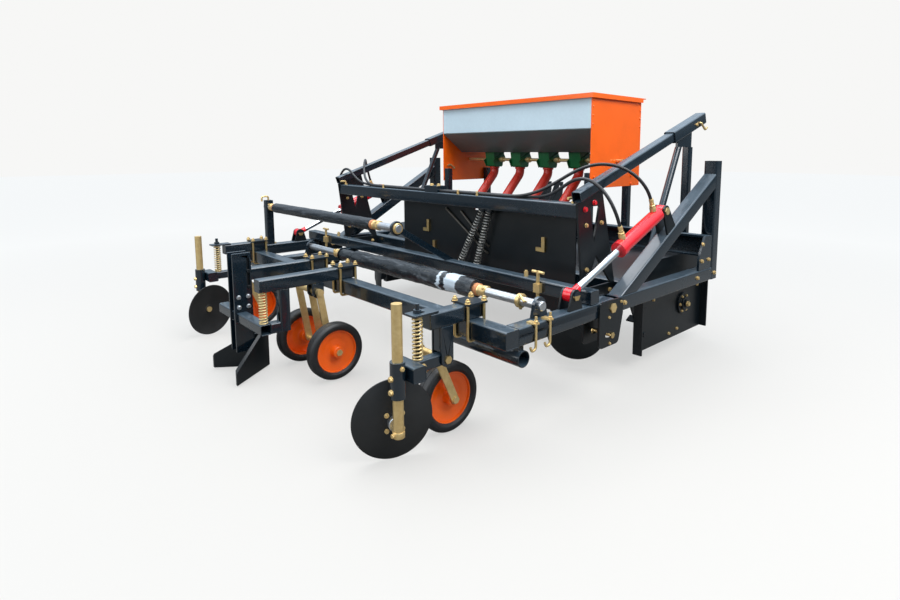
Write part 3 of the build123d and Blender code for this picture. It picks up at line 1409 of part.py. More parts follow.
with BuildPart() as fork:
    for x in (fork_inner_x, fork_outer_x):
        add(fork_side(x, unit_post_y, unit_pivot_z, wheel_y, unit_pin_radius + pin_clearance))
    add(headed_pin(fork_inner_x, fork_outer_x + fork_bar, wheel_y, wheel_radius, axle_radius))
node("right_fork", fork.part)
node("left_fork", other_side(fork.part))


def rim(hub_half):
    """A pressed wheel rim about the X axis: bead seat, dished web and hub with the axle's bore."""
    bore = axle_radius + pin_clearance
    half = rim_width / 2
    with BuildPart() as wheel:
        with BuildSketch(Plane.XZ):
            with BuildLine():
                Polyline((-hub_half, bore), (hub_half, bore), (hub_half, wheel_hub_radius),
                         (rim_sheet, wheel_hub_radius), (rim_sheet / 2, web_radius), (half / 2, rim_radius - rim_sheet),
                         (half, rim_radius - rim_sheet), (half, rim_radius), (-half, rim_radius),
                         (-half, rim_radius - rim_sheet), (half / 2 - rim_sheet, rim_radius - rim_sheet),
                         (-rim_sheet / 2, web_radius), (-rim_sheet, wheel_hub_radius), (-hub_half, wheel_hub_radius),
                         close=True)
            make_face()
        revolve(axis=Axis.X)
    return wheel.part


with BuildPart() as tyre:
    with BuildSketch(Plane.XZ) as tread:
        with BuildLine():
            Polyline((-rim_width / 2, rim_radius), (rim_width / 2, rim_radius), (tyre_width / 2, rim_radius + rim_sheet),
                     (tyre_width / 2, wheel_radius), (-tyre_width / 2, wheel_radius),
                     (-tyre_width / 2, rim_radius + rim_sheet), close=True)
        make_face()
        fillet(tread.vertices().group_by(Axis.Y)[-1], tyre_shoulder)
    revolve(axis=Axis.X)
wheel_hub_half = tyre_width / 2 + fork_gap - hub_side_gap
right_wheel = Location((wheel_x, wheel_y, wheel_radius))
right_rim = rim(wheel_hub_half).moved(right_wheel)
right_tyre = tyre.part.moved(right_wheel)
node("right_wheel_rim", right_rim)
node("left_wheel_rim", other_side(right_rim))
node("right_tyre", right_tyre)
node("left_tyre", other_side(right_tyre))

# Wheel pair in the middle, on one fork under the middle arm
centre_hub_half = centre_wheel_x - max(centre_bars) - fork_bar - hub_side_gap
axle_half = centre_wheel_x + centre_hub_half + hub_side_gap
with BuildPart() as centre_fork:
    add(round_bar((centre_pivot_left, centre_pivot_y, centre_pivot_z),
                  (centre_pivot_right, centre_pivot_y, centre_pivot_z), centre_pivot_radius))
    for x in centre_bars:
        add(fork_side(x, centre_pivot_y, centre_pivot_z, centre_wheel_y, 0.0))
    add(headed_pin(-axle_half, axle_half, centre_wheel_y, wheel_radius, axle_radius))
node("centre_fork", centre_fork.part)

centre_wheel = Location((centre_wheel_x, centre_wheel_y, wheel_radius))
centre_rim = rim(centre_hub_half).moved(centre_wheel)
centre_tyre = tyre.part.moved(centre_wheel)
node("centre_rim_right", centre_rim)
node("centre_rim_left", other_side(centre_rim))
node("centre_tyre_right", centre_tyre)
node("centre_tyre_left", other_side(centre_tyre))

# Pins and U-bolts of the rear frame
clevis_pin = headed_pin(lug_inner_x, lug_outer_x + lug_thickness, clevis_y, clevis_z, cylinder_pin_radius)
stop_bolt = headed_pin(quadrant_inner_x - quadrant_side_gap, quadrant_outer_x + quadrant_thickness + quadrant_side_gap,
                       stop_y, stop_z, stop_bolt_radius)
unit_pin = headed_pin(fork_inner_x - hub_side_gap, unit_x + post_width / 2 + ear_thickness, unit_post_y, unit_pivot_z,
                      unit_pin_radius)


def u_bolt(x):
    """A U-bolt round the rear beam: two legs and the bend below."""
    leg_gap = rail_size / 2 + u_bolt_radius + u_bolt_gap
    foot_z = rail_foot - u_bolt_gap - u_bolt_radius
    legs = [(x, rear_beam_y - leg_gap), (x, rear_beam_y + leg_gap)]
    with BuildPart() as bolt:
        with BuildLine():
            FilletPolyline((*legs[0], arm_top), (*legs[0], foot_z), (*legs[1], foot_z), (*legs[1], arm_top),
                           radius=2 * u_bolt_radius)
        with BuildSketch(Plane.XY.offset(arm_top)):
            with Locations(legs[0]):
                Circle(u_bolt_radius)
        sweep()
    return bolt.part


def clamp(x):
    """The two U-bolts and the top plate that hold one arm on the rear beam."""
    bolt_gap = arm_size / 2 + u_bolt_radius + u_bolt_gap
    half = bolt_gap + clamp_margin
    depth = rail_size / 2 + 2 * u_bolt_radius + u_bolt_gap
    plate = block((x - half, rear_beam_y - depth, arm_top), (x + half, rear_beam_y + depth, arm_top + clamp_plate))
    return [u_bolt(x - bolt_gap), u_bolt(x + bolt_gap), plate]


clamps = [piece for x in (unit_x, -unit_x, centre_arm_x, share_x) for piece in clamp(x)]
node("rear_hardware", *both_sides([clevis_pin, stop_bolt, unit_pin]), *clamps)

# Rear board on its rod, with lever locks, stays and the springs' hook plate
upper_beam_front = upper_beam_y + rail_size / 2
board_rod_y = upper_beam_front + board_rod_gap
board_rod_z = upper_beam_z - board_rod_drop
board_rear_face = board_rod_y - board_sheet / 2
board_middle = (board_left + board_right) / 2
board_ears = [standing_lug(place - board_ear_width / 2, board_ear_width, board_rod_z + board_rod_gap, board_rod_gap,
                           board_rod_y, board_rod_z, board_rod_gap, board_rod_radius)
              for place in (board_left, board_middle, board_right)]
board_rod = round_bar((board_left - board_ear_width, board_rod_y, board_rod_z),
                      (board_right + board_ear_width, board_rod_y, board_rod_z), board_rod_radius)
spring_axes = [((top, board_spring_y, upper_beam_z - rail_size / 2), (foot, board_spring_y, hook_z))
               for top, foot in zip(board_spring_tops, board_spring_feet)]


def spring_seat_at(end, far_end):
    """A round seat square to a spring's axis, cut flat where it stands on its carrier."""
    way = (Vector(*far_end) - Vector(*end)).normalized()
    with BuildPart() as seat:
        with BuildSketch(Plane(origin=Vector(*end) - way * spring_seat_height, z_dir=way)):
            Circle(spring_seat_radius)
        extrude(amount=2 * spring_seat_height)
        split(bisect_by=Plane.XY.offset(end[2]), keep=Keep.TOP if way.Z > 0 else Keep.BOTTOM)
    return seat.part


upper_seats = [spring_seat_at(top, foot) for top, foot in spring_axes]
lower_seats = [spring_seat_at(foot, top) for top, foot in spring_axes]
tee_y = upper_beam_y
tee_block = block((-tee_half, tee_y - tee_rear, upper_beam_z + rail_size / 2),
                  (tee_half, tee_y + tee_front, upper_beam_z + rail_size / 2 + tee_height))
node("upper_frame", hood_beam, upper_beam, *board_ears, board_rod, *upper_seats, tee_block)

knuckle_start = board_ear_width / 2 + board_ear_gap
knuckle_run = board_right - board_middle - 2 * knuckle_start
with BuildPart() as rear_board:
    with BuildSketch(Plane.YZ.offset(board_middle + knuckle_start), Plane.YZ.offset(board_left + knuckle_start)):
        with Locations((board_rod_y, board_rod_z)):
            Circle(board_knuckle)
        with Locations((board_rod_y, (board_rod_z + board_foot_z) / 2)):
            Rectangle(board_sheet, board_rod_z - board_foot_z)
        with Locations((board_rod_y, board_rod_z)):
            Circle(board_rod_radius + pin_clearance, mode=Mode.SUBTRACT)
    extrude(amount=knuckle_run)
    middle_top = board_rod_z - 2 * board_rod_gap
    with BuildSketch(Plane.YZ.offset(board_middle - knuckle_start)):
        with Locations((board_rod_y, (board_foot_z + middle_top) / 2)):
            Rectangle(board_sheet, middle_top - board_foot_z)
    extrude(amount=2 * knuckle_start)
node("rear_board", rear_board.part)


def lever_lock(x, z):
    """An L-shaped lever lock on the board's rear face."""
    with BuildPart() as lever:
        with BuildSketch(Plane.XZ.offset(-board_rear_face)):
            with Locations((x, z)):
                Rectangle(lock_bar, lock_long)
            with Locations((x - lock_short / 2, z - lock_long / 2 + lock_bar / 2)):
                Rectangle(lock_short, lock_bar)
        extrude(amount=lock_depth)
    return lever.part


def stay(upper, lower):
    """A round stay across the board, with a stub at each end that meets the board's rear face."""
    y = board_rear_face - stay_gap - stay_radius
    with BuildPart() as rod:
        with BuildLine():
            FilletPolyline((upper[0], board_rear_face, upper[1]), (upper[0], y, upper[1]), (lower[0], y, lower[1]),
                           (lower[0], board_rear_face, lower[1]), radius=stay_bend)
        with BuildSketch(Plane.XZ.offset(-board_rear_face)):
            with Locations(upper):
                Circle(stay_radius)
        sweep()
    return rod.part


stays = [stay(upper, lower) for upper, lower in stay_ends]
hook_rear = board_spring_y - spring_seat_radius
hook_plate = block((hook_left, hook_rear, hook_z - hook_thickness), (hook_right, board_rear_face, hook_z))
node("board_fittings", *[lever_lock(x, z) for x, z in lock_places], *stays, hook_plate, *lower_seats)

# Coil springs, each one unbroken wire


def biarc_middle(start, start_way, end, end_way):
    """The point where two tangent arcs meet that join two points, each with its direction."""
    gap = end - start
    ways = start_way + end_way
    spread = 2 * (1 - start_way.dot(end_way))
    along = gap.dot(ways)
    reach = (sqrt(along ** 2 + spread * gap.dot(gap)) - along) / spread
    return (start + start_way * reach + end - end_way * reach) * 0.5


def coil(start, end, radius, turns, wire):
    """A coil spring between two seats: straight ends square to the seats, and turns made of half-turn biarcs."""
    run = Vector(*end) - Vector(*start)
    lead = 2 * wire
    entry = lead + radius / 2
    halves = 2 * turns - 1
    rise = (run.length - 2 * entry) / halves
    up = Vector(0, 0, 1)

    def place(angle, height):
        """A point of the upright coil at an angle about its axis and a height along it."""
        return Vector(radius * cos(angle), radius * sin(angle), height)

    def way(angle):
        """The wire's direction on the helix at an angle about its axis."""
        return Vector(-radius * sin(angle), radius * cos(angle), rise / pi).normalized()

    knots = [(place(0.0, lead), up)]
    for half in range(halves + 1):
        angle = pi / 2 + pi * half
        knots.append((place(angle, entry + rise * half), way(angle)))
    last_angle = 2 * pi * turns
    knots.append((place(last_angle, run.length - lead), up))
    with BuildPart() as spring:
        with BuildLine() as wire_line:
            Line(place(0.0, 0.0), knots[0][0])
            for (here, here_way), (there, there_way) in zip(knots, knots[1:]):
                middle = biarc_middle(here, here_way, there, there_way)
                first = TangentArc(here, middle, tangent=here_way)
                TangentArc(middle, there, tangent=first % 1)
            Line(knots[-1][0], place(last_angle, run.length))
        with BuildSketch(Plane(origin=place(0.0, 0.0), z_dir=up)):
            RegularPolygon(wire, wire_sides)
        sweep(clean=False)
    samples = 24 * turns
    points = [wire_line.line @ (step / samples) for step in range(samples + 1)]
    apart = min((points[i] - points[j]).length for i in range(samples) for j in range(i + 8, samples + 1))
    print(f"coil of {turns} turns: least gap to itself {apart - 2 * wire:.2f} mm", flush=True)
    return spring.part.moved(Location(Plane(origin=Vector(*start), z_dir=run)))


unit_spring = coil((unit_x, unit_spring_y, lower_arm_top), (unit_x, unit_spring_y, arm_top), spring_radius,
                   unit_spring_turns, spring_wire)
node("right_spring", unit_spring)
node("left_spring", other_side(unit_spring))
node("centre_spring", coil((centre_arm_x, share_tube_y, share_tube_top), (centre_arm_x, share_tube_y, rail_top),
                           spring_radius, centre_spring_turns, spring_wire))


def board_spring(top, foot):
    """One of the board's springs, between the faces of its two seats."""
    way = (Vector(*foot) - Vector(*top)).normalized() * spring_seat_height
    return coil(tuple(Vector(*top) + way), tuple(Vector(*foot) - way), board_spring_radius, board_spring_turns,
                board_spring_wire)


node("board_springs", *[board_spring(top, foot) for top, foot in spring_axes])

# Hydraulic hoses from the cylinders' ports over the sloped arms to the tee block on the upper beam
hose_z = upper_beam_z + rail_size / 2 + hose_radius + hose_rest_gap
upper_route = [(1192, 292, 944), (1154, 254, 1000), (1090, 208, 1040), (1008, 152, 1046), (932, 96, 1012),
               (862, 50, 958), (786, 14, 912), (694, -12, 884), (590, -20, hose_z), (470, -15, hose_z),
               (350, -21, hose_z), (230, -16, hose_z), (140, -18, hose_z)]
lower_route = [(1198, 40, 838), (1170, 28, 898), (1122, 20, 952), (1056, 14, 984), (986, 10, 974), (924, 6, 934),
               (858, 9, 898), (772, 14, 880), (670, 11, hose_z), (550, 15, hose_z), (430, 10, hose_z),
               (310, 14, hose_z), (200, 8, hose_z), (125, 10, hose_z)]


def hose(port, route, end_y):
    """A hose from a port through its route to the tee block, with each bend as wide as its runs allow."""
    exit_point = on_cylinder(port, port_height)
    points = [exit_point, exit_point + port_way * 6 * hose_radius, *[Vector(*point) for point in route],
              Vector(tee_half, end_y, hose_z)]
    radii = []
    for before, here, after in zip(points, points[1:], points[2:]):
        shorter = min((here - before).length, (after - here).length)
        half_turn = radians((here - before).get_angle(after - here)) / 2
        radii.append(0.45 * shorter / tan(half_turn))
    print(f"hose: least bend radius {min(radii):.0f} mm")
    with BuildPart() as tube:
        with BuildLine():
            FilletPolyline(*points, radius=radii)
        with BuildSketch(Plane(origin=exit_point, z_dir=port_way)):
            Circle(hose_radius)
        sweep()
    return tube.part


hoses = [hose(upper_port, upper_route, -18.0), hose(lower_port, lower_route, 10.0)]
node("hydraulic_hoses", *both_sides(hoses))
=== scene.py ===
import logging
from dataclasses import dataclass, field
from enum import Enum
from functools import cache
from math import cos, pi, radians, sin
from typing import Iterable, Sequence

import bmesh
import bpy
from bpy.types import Material, Node, NodeSocket, NodeTree, Object
from mathutils import Euler, Matrix, Vector, noise


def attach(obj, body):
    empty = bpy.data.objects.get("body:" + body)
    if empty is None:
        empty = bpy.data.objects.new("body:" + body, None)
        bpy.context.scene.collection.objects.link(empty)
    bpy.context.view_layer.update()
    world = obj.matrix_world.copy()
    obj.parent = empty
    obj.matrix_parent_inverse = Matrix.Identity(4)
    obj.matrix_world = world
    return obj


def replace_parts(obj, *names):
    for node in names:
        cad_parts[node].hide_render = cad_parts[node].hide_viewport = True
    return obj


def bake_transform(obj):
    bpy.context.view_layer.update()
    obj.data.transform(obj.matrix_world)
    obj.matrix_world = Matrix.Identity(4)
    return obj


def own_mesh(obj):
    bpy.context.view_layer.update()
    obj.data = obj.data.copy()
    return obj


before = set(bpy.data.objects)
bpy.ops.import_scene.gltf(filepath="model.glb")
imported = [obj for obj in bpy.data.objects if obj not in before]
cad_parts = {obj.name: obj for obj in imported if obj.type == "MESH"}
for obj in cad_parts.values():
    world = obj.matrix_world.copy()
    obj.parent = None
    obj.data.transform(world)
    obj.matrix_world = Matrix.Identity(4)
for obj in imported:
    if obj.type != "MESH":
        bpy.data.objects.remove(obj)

# Dresses the ridging mulch layer. Sizes of pieces are in millimetres in the CAD's frame: +Z up, +Y to the
# tractor, +X to the machine's right. Meshes are scaled to metres when they become pieces.

LOG = logging.getLogger("ridging_mulch_layer")
MILLIMETRE = 0.001
Colour = tuple[float, float, float]
Point = tuple[float, float, float]
Pair = tuple[float, float]
Outline = Sequence[Pair]
SIDEWAYS = Vector((1.0, 0.0, 0.0))
BACKWARD = Vector((0.0, -1.0, 0.0))
UPWARD = Vector((0.0, 0.0, 1.0))


class Side(Enum):
    """The machine's two sides, with the sign of their X."""

    RIGHT = 1
    LEFT = -1

    @property
    def word(self) -> str:
        """The side's name as the CAD bodies use it."""
        return self.name.lower()

    @property
    def outward(self) -> Vector:
        """The direction away from the machine's middle."""
        return SIDEWAYS * self.value

    def place(self, x: float, y: float, z: float) -> Vector:
        """A point given for the right side, on this side."""
        return Vector((self.value * x, y, z))

    def places(self, *points: Point) -> list[Vector]:
        """Points given for the right side, on this side."""
        return [self.place(*point) for point in points]

    def face(self, x: float, points: Iterable[Pair]) -> list[Vector]:
        """Points on an upright face, given by their Y and Z, on this side."""
        return [self.place(x, y, z) for y, z in points]


class Head(Enum):
    """What shows of a fastener."""

    BOLT = "bolt"
    NUT = "nut"
    RIVET = "rivet"


class Tree:
    """A node tree in the making."""

    def __init__(self, tree: NodeTree) -> None:
        """Takes up a tree.

        Args:
            tree: the node tree.
        """
        self.tree = tree

    def feed(self, value: object, into: NodeSocket) -> None:
        """Gives an input a socket's value or a fixed one."""
        if isinstance(value, NodeSocket):
            self.tree.links.new(value, into)
        else:
            into.default_value = value

    def fill(self, node: Node, **values: object) -> None:
        """Feeds a node's inputs.

        Args:
            node: the node.
            values: sockets or values by the inputs' names, with underscores for spaces.
        """
        for name, value in values.items():
            self.feed(value, node.inputs[name.replace("_", " ")])

    def add(self, kind: str, **settings: object) -> Node:
        """Adds a node.

        Args:
            kind: the node's type name, of which a shader node's prefix is left out.
            settings: properties of the node by name, and what its inputs are fed, as for fill.

        Returns:
            The node.
        """
        made = self.tree.nodes.new(kind if "Node" in kind else "ShaderNode" + kind)
        for name, value in settings.items():
            if hasattr(made, name):
                setattr(made, name, value)
            else:
                self.fill(made, **{name: value})
        return made

    def object_place(self) -> NodeSocket:
        """The socket with the place on the machine, in metres."""
        return self.add("TexCoord").outputs["Object"]

    def noise(self, **settings: object) -> NodeSocket:
        """Adds a noise texture.

        Args:
            settings: the texture's properties and inputs, as for add.

        Returns:
            The noise's value.
        """
        return self.add("TexNoise", **settings).outputs["Fac"]

    def bump(self, height: NodeSocket, strength: float, distance: float) -> NodeSocket:
        """Turns a height into a normal.

        Args:
            height: the height's socket.
            strength: the bump's strength.
            distance: the height's depth in metres.

        Returns:
            The normal's socket.
        """
        return self.add("Bump", Height=height, Strength=strength, Distance=distance).outputs[0]

    def math(self, operation: str, first: object, second: object = 0.0) -> NodeSocket:
        """Adds a math node.

        Args:
            operation: the math operation's name.
            first: a socket or a number.
            second: a socket or a number.

        Returns:
            The node's output.
        """
        made = self.add("Math", operation=operation)
        self.feed(first, made.inputs[0])
        self.feed(second, made.inputs[1])
        return made.outputs[0]

    def mix(self, factor: object, first: object, second: object) -> NodeSocket:
        """Adds a colour mix node.

        Args:
            factor: a socket or a number.
            first: a socket or a colour of four numbers.
            second: a socket or a colour of four numbers.

        Returns:
            The mixed colour's socket.
        """
        made = self.add("Mix", data_type="RGBA")
        for index, value in ((0, factor), (6, first), (7, second)):
            self.feed(value, made.inputs[index])
        return made.outputs[2]

    def span(self, value: NodeSocket, low: float, high: float, to_low: float = 0.0,
             to_high: float = 1.0) -> NodeSocket:
        """Maps a value's range to another, clamped.

        Args:
            value: the socket to map.
            low: the start of its range.
            high: the end of its range.
            to_low: what the start becomes.
            to_high: what the end becomes.

        Returns:
            The mapped value's socket.
        """
        made = self.add("MapRange", Value=value, From_Min=low, From_Max=high, To_Min=to_low, To_Max=to_high)
        return made.outputs[0]


class Group(Tree):
    """A shared effect's node group in the making."""

    def __init__(self, name: str, inputs: str, outputs: str) -> None:
        """Starts the group.

        Args:
            name: the group's name.
            inputs: names of its inputs; Colour and Dust are colours, the rest are numbers.
            outputs: names of its outputs, in the same way.
        """
        super().__init__(bpy.data.node_groups.new(name, "ShaderNodeTree"))
        for way, labels in (("INPUT", inputs), ("OUTPUT", outputs)):
            for label in labels.split():
                kind = "NodeSocketColor" if label in ("Colour", "Dust") else "NodeSocketFloat"
                self.tree.interface.new_socket(label, in_out=way, socket_type=kind)
        self.ins = self.add("NodeGroupInput").outputs
        self.end = self.add("NodeGroupOutput")


class Effects:
    """The shader node groups that several finishes share, each built once."""

    @staticmethod
    @cache
    def paint_tone() -> NodeTree:
        """Uneven paint: broad cloudy tone, fine speckle, and a roughness that follows both.

        Returns:
            The node group.
        """
        group = Group("paint_tone", "Colour Amount Scale Roughness", "Colour Roughness")
        place = group.object_place()
        scale = group.ins["Scale"]
        cloud = group.noise(Vector=place, Scale=scale, Detail=5.0, Roughness=0.6)
        fine = group.noise(Vector=place, Scale=group.math("MULTIPLY", scale, 21.0), Detail=3.0)
        broad = group.span(cloud, 0.3, 0.7, -1.0, 1.0)
        speckle = group.span(fine, 0.3, 0.7, -0.45, 0.45)
        shift = group.math("MULTIPLY", group.math("ADD", broad, speckle), group.ins["Amount"])
        tone = group.add("HueSaturation", Color=group.ins["Colour"], Value=group.math("ADD", shift, 1.0))
        rough = group.math("ADD", group.ins["Roughness"], group.math("MULTIPLY", shift, 0.35))
        group.fill(group.end, Colour=tone.outputs[0], Roughness=rough)
        return group.tree

    @staticmethod
    @cache
    def settled_dust() -> NodeTree:
        """A dusting, and a painted highlight of sky light, on what faces up, broken up by noise.

        Returns:
            The node group.
        """
        group = Group("settled_dust", "Colour Dust Amount Roughness", "Colour Roughness")
        facing = group.add("SeparateXYZ", Vector=group.add("NewGeometry").outputs["Normal"])
        upward = group.span(facing.outputs["Z"], 0.1, 0.95)
        patches = group.noise(Vector=group.object_place(), Scale=13.0, Detail=6.0, Roughness=0.68)
        broken = group.span(patches, 0.36, 0.7, 0.5, 1.0)
        # How far upward faces are lightened: dust and a painted sky highlight together.
        dust_and_sheen_cover = group.math("MULTIPLY", group.math("MULTIPLY", upward, broken), group.ins["Amount"])
        rough = group.math("ADD", group.ins["Roughness"], group.math("MULTIPLY", dust_and_sheen_cover, 0.4))
        colour = group.mix(dust_and_sheen_cover, group.ins["Colour"], group.ins["Dust"])
        group.fill(group.end, Colour=colour, Roughness=rough)
        return group.tree

    @staticmethod
    @cache
    def orange_peel() -> NodeTree:
        """The height of sprayed paint: fine ripples over a slow unevenness of the sheet.

        Returns:
            The node group.
        """
        group = Group("orange_peel", "Scale", "Height")
        place = group.object_place()
        ripple = group.noise(Vector=place, Scale=group.ins["Scale"], Detail=2.0)
        sheet = group.noise(Vector=place, Scale=7.0, Detail=1.0)
        group.fill(group.end, Height=group.math("ADD", group.math("MULTIPLY", ripple, 0.35), sheet))
        return group.tree

    @staticmethod
    @cache
    def worked_metal() -> NodeTree:
        """Turning and handling marks on bare or plated metal: a streaked height and a blotchy mask.

        Returns:
            The node group.
        """
        group = Group("worked_metal", "Scale", "Height Blotch")
        place = group.object_place()
        streak = group.add("Mapping", Vector=place, Scale=(0.25, 0.25, 3.0))
        lines = group.noise(Vector=streak.outputs[0], Scale=group.ins["Scale"], Detail=4.0)
        blotch = group.noise(Vector=place, Scale=34.0, Detail=5.0, Roughness=0.65)
        group.fill(group.end, Height=lines, Blotch=group.span(blotch, 0.34, 0.68))
        return group.tree


def rgba(colour: Colour) -> tuple[float, float, float, float]:
    """A colour with full alpha."""
    return (*colour, 1.0)


def start_material(name: str) -> tuple[Material, Tree, Node]:
    """Starts a material.

    Args:
        name: the finish's name.

    Returns:
        The material, its tree and its Principled shader.
    """
    material = bpy.data.materials.new(name)
    material.use_nodes = True
    tree = Tree(material.node_tree)
    return material, tree, material.node_tree.nodes["Principled BSDF"]


@dataclass(frozen=True)
class Finish:
    """A named look for one of the machine's slots."""

    name: str
    slot: str

    @cache
    def material(self) -> Material:
        """The finish's material, built once.

        Returns:
            The material.
        """
        material, tree, shader = start_material(self.name)
        self.add_nodes(tree, shader)
        return material

    def add_nodes(self, tree: Tree, shader: Node) -> None:
        """Builds the finish's nodes.

        Args:
            tree: the material's tree.
            shader: its Principled shader.
        """
        raise NotImplementedError


@dataclass(frozen=True)
class Paint(Finish):
    """Sprayed paint on steel, with uneven tone, orange peel, and a dusting with a painted sky highlight on
    upward faces.
    """

    colour: Colour
    roughness: float = 0.38
    tone: float = 0.12
    tone_scale: float = 6.0
    dust: float = 0.12
    dust_and_sheen_colour: Colour = (0.42, 0.44, 0.45)
    coat: float = 0.25
    coat_roughness: float = 0.18
    peel: float = 0.12
    peel_scale: float = 420.0
    peel_depth: float = 0.0008

    def add_nodes(self, tree: Tree, shader: Node) -> None:
        """Builds the paint's nodes."""
        tone = tree.add("Group", node_tree=Effects.paint_tone(), Colour=rgba(self.colour), Amount=self.tone,
                        Scale=self.tone_scale, Roughness=self.roughness).outputs
        # Upward faces are lightened towards the dust colour: dust, and a painted highlight of sky light.
        dust = tree.add("Group", node_tree=Effects.settled_dust(), Colour=tone["Colour"],
                        Dust=rgba(self.dust_and_sheen_colour), Amount=self.dust, Roughness=tone["Roughness"]).outputs
        peel = tree.add("Group", node_tree=Effects.orange_peel(), Scale=self.peel_scale).outputs
        tree.fill(shader, Base_Color=dust["Colour"], Roughness=dust["Roughness"], Coat_Weight=self.coat,
                  Coat_Roughness=self.coat_roughness,
                  Normal=tree.bump(peel["Height"], self.peel, self.peel_depth))


@dataclass(frozen=True)
class Painted:
    """Which part of a plated piece is painted: past a place on an axis, or near one."""

    axis: str
    place: float
    colour: Colour
    side: float = 1.0
    half: float = 0.0
    edge: float = 0.2

    def bare(self, tree: Tree) -> NodeSocket:
        """Builds the mask of what stays bare.

        Args:
            tree: the material's tree.

        Returns:
            A socket that is 1 where the metal is bare and 0 where it is painted.
        """
        parts = tree.add("SeparateXYZ", Vector=tree.object_place())
        beyond = tree.math("SUBTRACT", parts.outputs[self.axis], self.place * MILLIMETRE)
        if self.half:
            beyond = tree.math("SUBTRACT", self.half * MILLIMETRE, tree.math("ABSOLUTE", beyond))
        edge = self.edge * MILLIMETRE
        return tree.span(tree.math("MULTIPLY", beyond, self.side), -edge, edge, 1.0, 0.0)


@dataclass(frozen=True)
class Plating(Finish):
    """Plated, chromed or bare metal, with turning marks and blotches."""

    colour: Colour
    shade: Colour
    roughness: float = 0.34
    rough_spread: float = 0.16
    grain: float = 0.1
    metallic: float = 1.0
    grain_scale: float = 260.0
    grain_depth: float = 0.0006
    painted: Painted | None = None

    def add_nodes(self, tree: Tree, shader: Node) -> None:
        """Builds the metal's nodes."""
        marks = tree.add("Group", node_tree=Effects.worked_metal(), Scale=self.grain_scale).outputs
        colour = tree.mix(marks["Blotch"], rgba(self.colour), rgba(self.shade))
        metallic: object = self.metallic
        if self.painted:
            metallic = self.painted.bare(tree)
            colour = tree.mix(metallic, rgba(self.painted.colour), colour)
        rough = tree.math("ADD", tree.math("MULTIPLY", marks["Blotch"], self.rough_spread), self.roughness)
        tree.fill(shader, Base_Color=colour, Metallic=metallic, Roughness=rough,
                  Normal=tree.bump(marks["Height"], self.grain, self.grain_depth))


@dataclass(frozen=True)
class Rubber(Finish):
    """Black rubber of tyres and hoses, dusty grey where it is rubbed."""

    colour: Colour
    rubbed: Colour
    roughness: float = 0.62
    dust: float = 0.2
    dust_and_sheen_colour: Colour = (0.3, 0.29, 0.27)
    rubbed_share: float = 0.55
    grain: float = 0.18
    grain_scale: float = 90.0
    grain_depth: float = 0.0008

    def add_nodes(self, tree: Tree, shader: Node) -> None:
        """Builds the rubber's nodes."""
        marks = tree.add("Group", node_tree=Effects.worked_metal(), Scale=self.grain_scale).outputs
        share = tree.math("MULTIPLY", marks["Blotch"], self.rubbed_share)
        rubbed = tree.mix(share, rgba(self.colour), rgba(self.rubbed))
        dust = tree.add("Group", node_tree=Effects.settled_dust(), Colour=rubbed, Dust=rgba(self.dust_and_sheen_colour),
                        Amount=self.dust, Roughness=self.roughness).outputs
        tree.fill(shader, Base_Color=dust["Colour"], Roughness=dust["Roughness"],
                  Normal=tree.bump(marks["Height"], self.grain, self.grain_depth))


@dataclass(frozen=True)
class FilmWrap(Finish):
    """Wound plastic film: fine rings of its edges, long wrinkles, and paler bands."""

    colour: Colour
    pale: Colour
    bands: tuple[Pair, ...]
    roughness: float = 0.28
    stretch: Point = (9.0, 60.0, 60.0)
    band_edge: float = 6.0
    ragged: float = 12.0

    def add_nodes(self, tree: Tree, shader: Node) -> None:
        """Builds the film's nodes."""
        place = tree.object_place()
        across = tree.add("SeparateXYZ", Vector=place).outputs["X"]
        stretch = tree.add("Mapping", Vector=place, Scale=self.stretch)
        fold = tree.noise(Vector=stretch.outputs[0], Scale=1.0, Detail=6.0, Roughness=0.62, Distortion=0.6)
        rings = tree.noise(noise_dimensions="1D", W=across, Scale=140.0, Detail=2.0)
        shift = self.ragged * MILLIMETRE
        ragged = tree.math("ADD", across, tree.span(fold, 0.3, 0.7, -shift, shift))
        band_mask: object = 0.0
        for start, end in self.bands:
            rise = tree.span(ragged, start * MILLIMETRE, (start + self.band_edge) * MILLIMETRE)
            fall = tree.span(ragged, (end - self.band_edge) * MILLIMETRE, end * MILLIMETRE, 1.0, 0.0)
            band_mask = tree.math("MAXIMUM", tree.math("MULTIPLY", rise, fall), band_mask)
        streaks = tree.math("MULTIPLY", tree.span(fold, 0.56, 0.72), 0.16)
        pale = tree.math("MAXIMUM", tree.math("MULTIPLY", band_mask, 0.85), streaks)
        rough = tree.span(fold, 0.3, 0.7, self.roughness - 0.1, self.roughness + 0.16)
        height = tree.math("ADD", fold, tree.math("MULTIPLY", rings, 0.3))
        tree.fill(shader, Base_Color=tree.mix(pale, rgba(self.colour), rgba(self.pale)), Roughness=rough,
                  Normal=tree.bump(height, 0.5, 0.004))


# The frame paint's pale blue-grey on upward faces is a painted highlight for sky light on its top faces.
FRAME_PAINT = Paint("blue_grey_frame_paint", "frame_paint", (0.0035, 0.0105, 0.0175), 0.25, dust=0.6,
                    dust_and_sheen_colour=(0.075, 0.118, 0.155), coat=0.7, coat_roughness=0.1)
DARK_PAINT = Paint("near_black_paint", "dark_paint", (0.001, 0.0036, 0.0056), 0.36, dust=0.06,
                   dust_and_sheen_colour=(0.07, 0.09, 0.105), coat=0.05)
DISC_PAINT = Paint("matte_black_disc_paint", "dark_paint", (0.012, 0.012, 0.012), 0.5, tone=0.3, dust=0.05,
                   dust_and_sheen_colour=(0.12, 0.11, 0.1), coat=0.0)
ORANGE_PAINT = Paint("gloss_orange_paint", "orange_paint", (1.0, 0.135, 0.003), 0.32, tone=0.05, dust=0.02,
                     dust_and_sheen_colour=(0.8, 0.35, 0.12), coat=0.3)
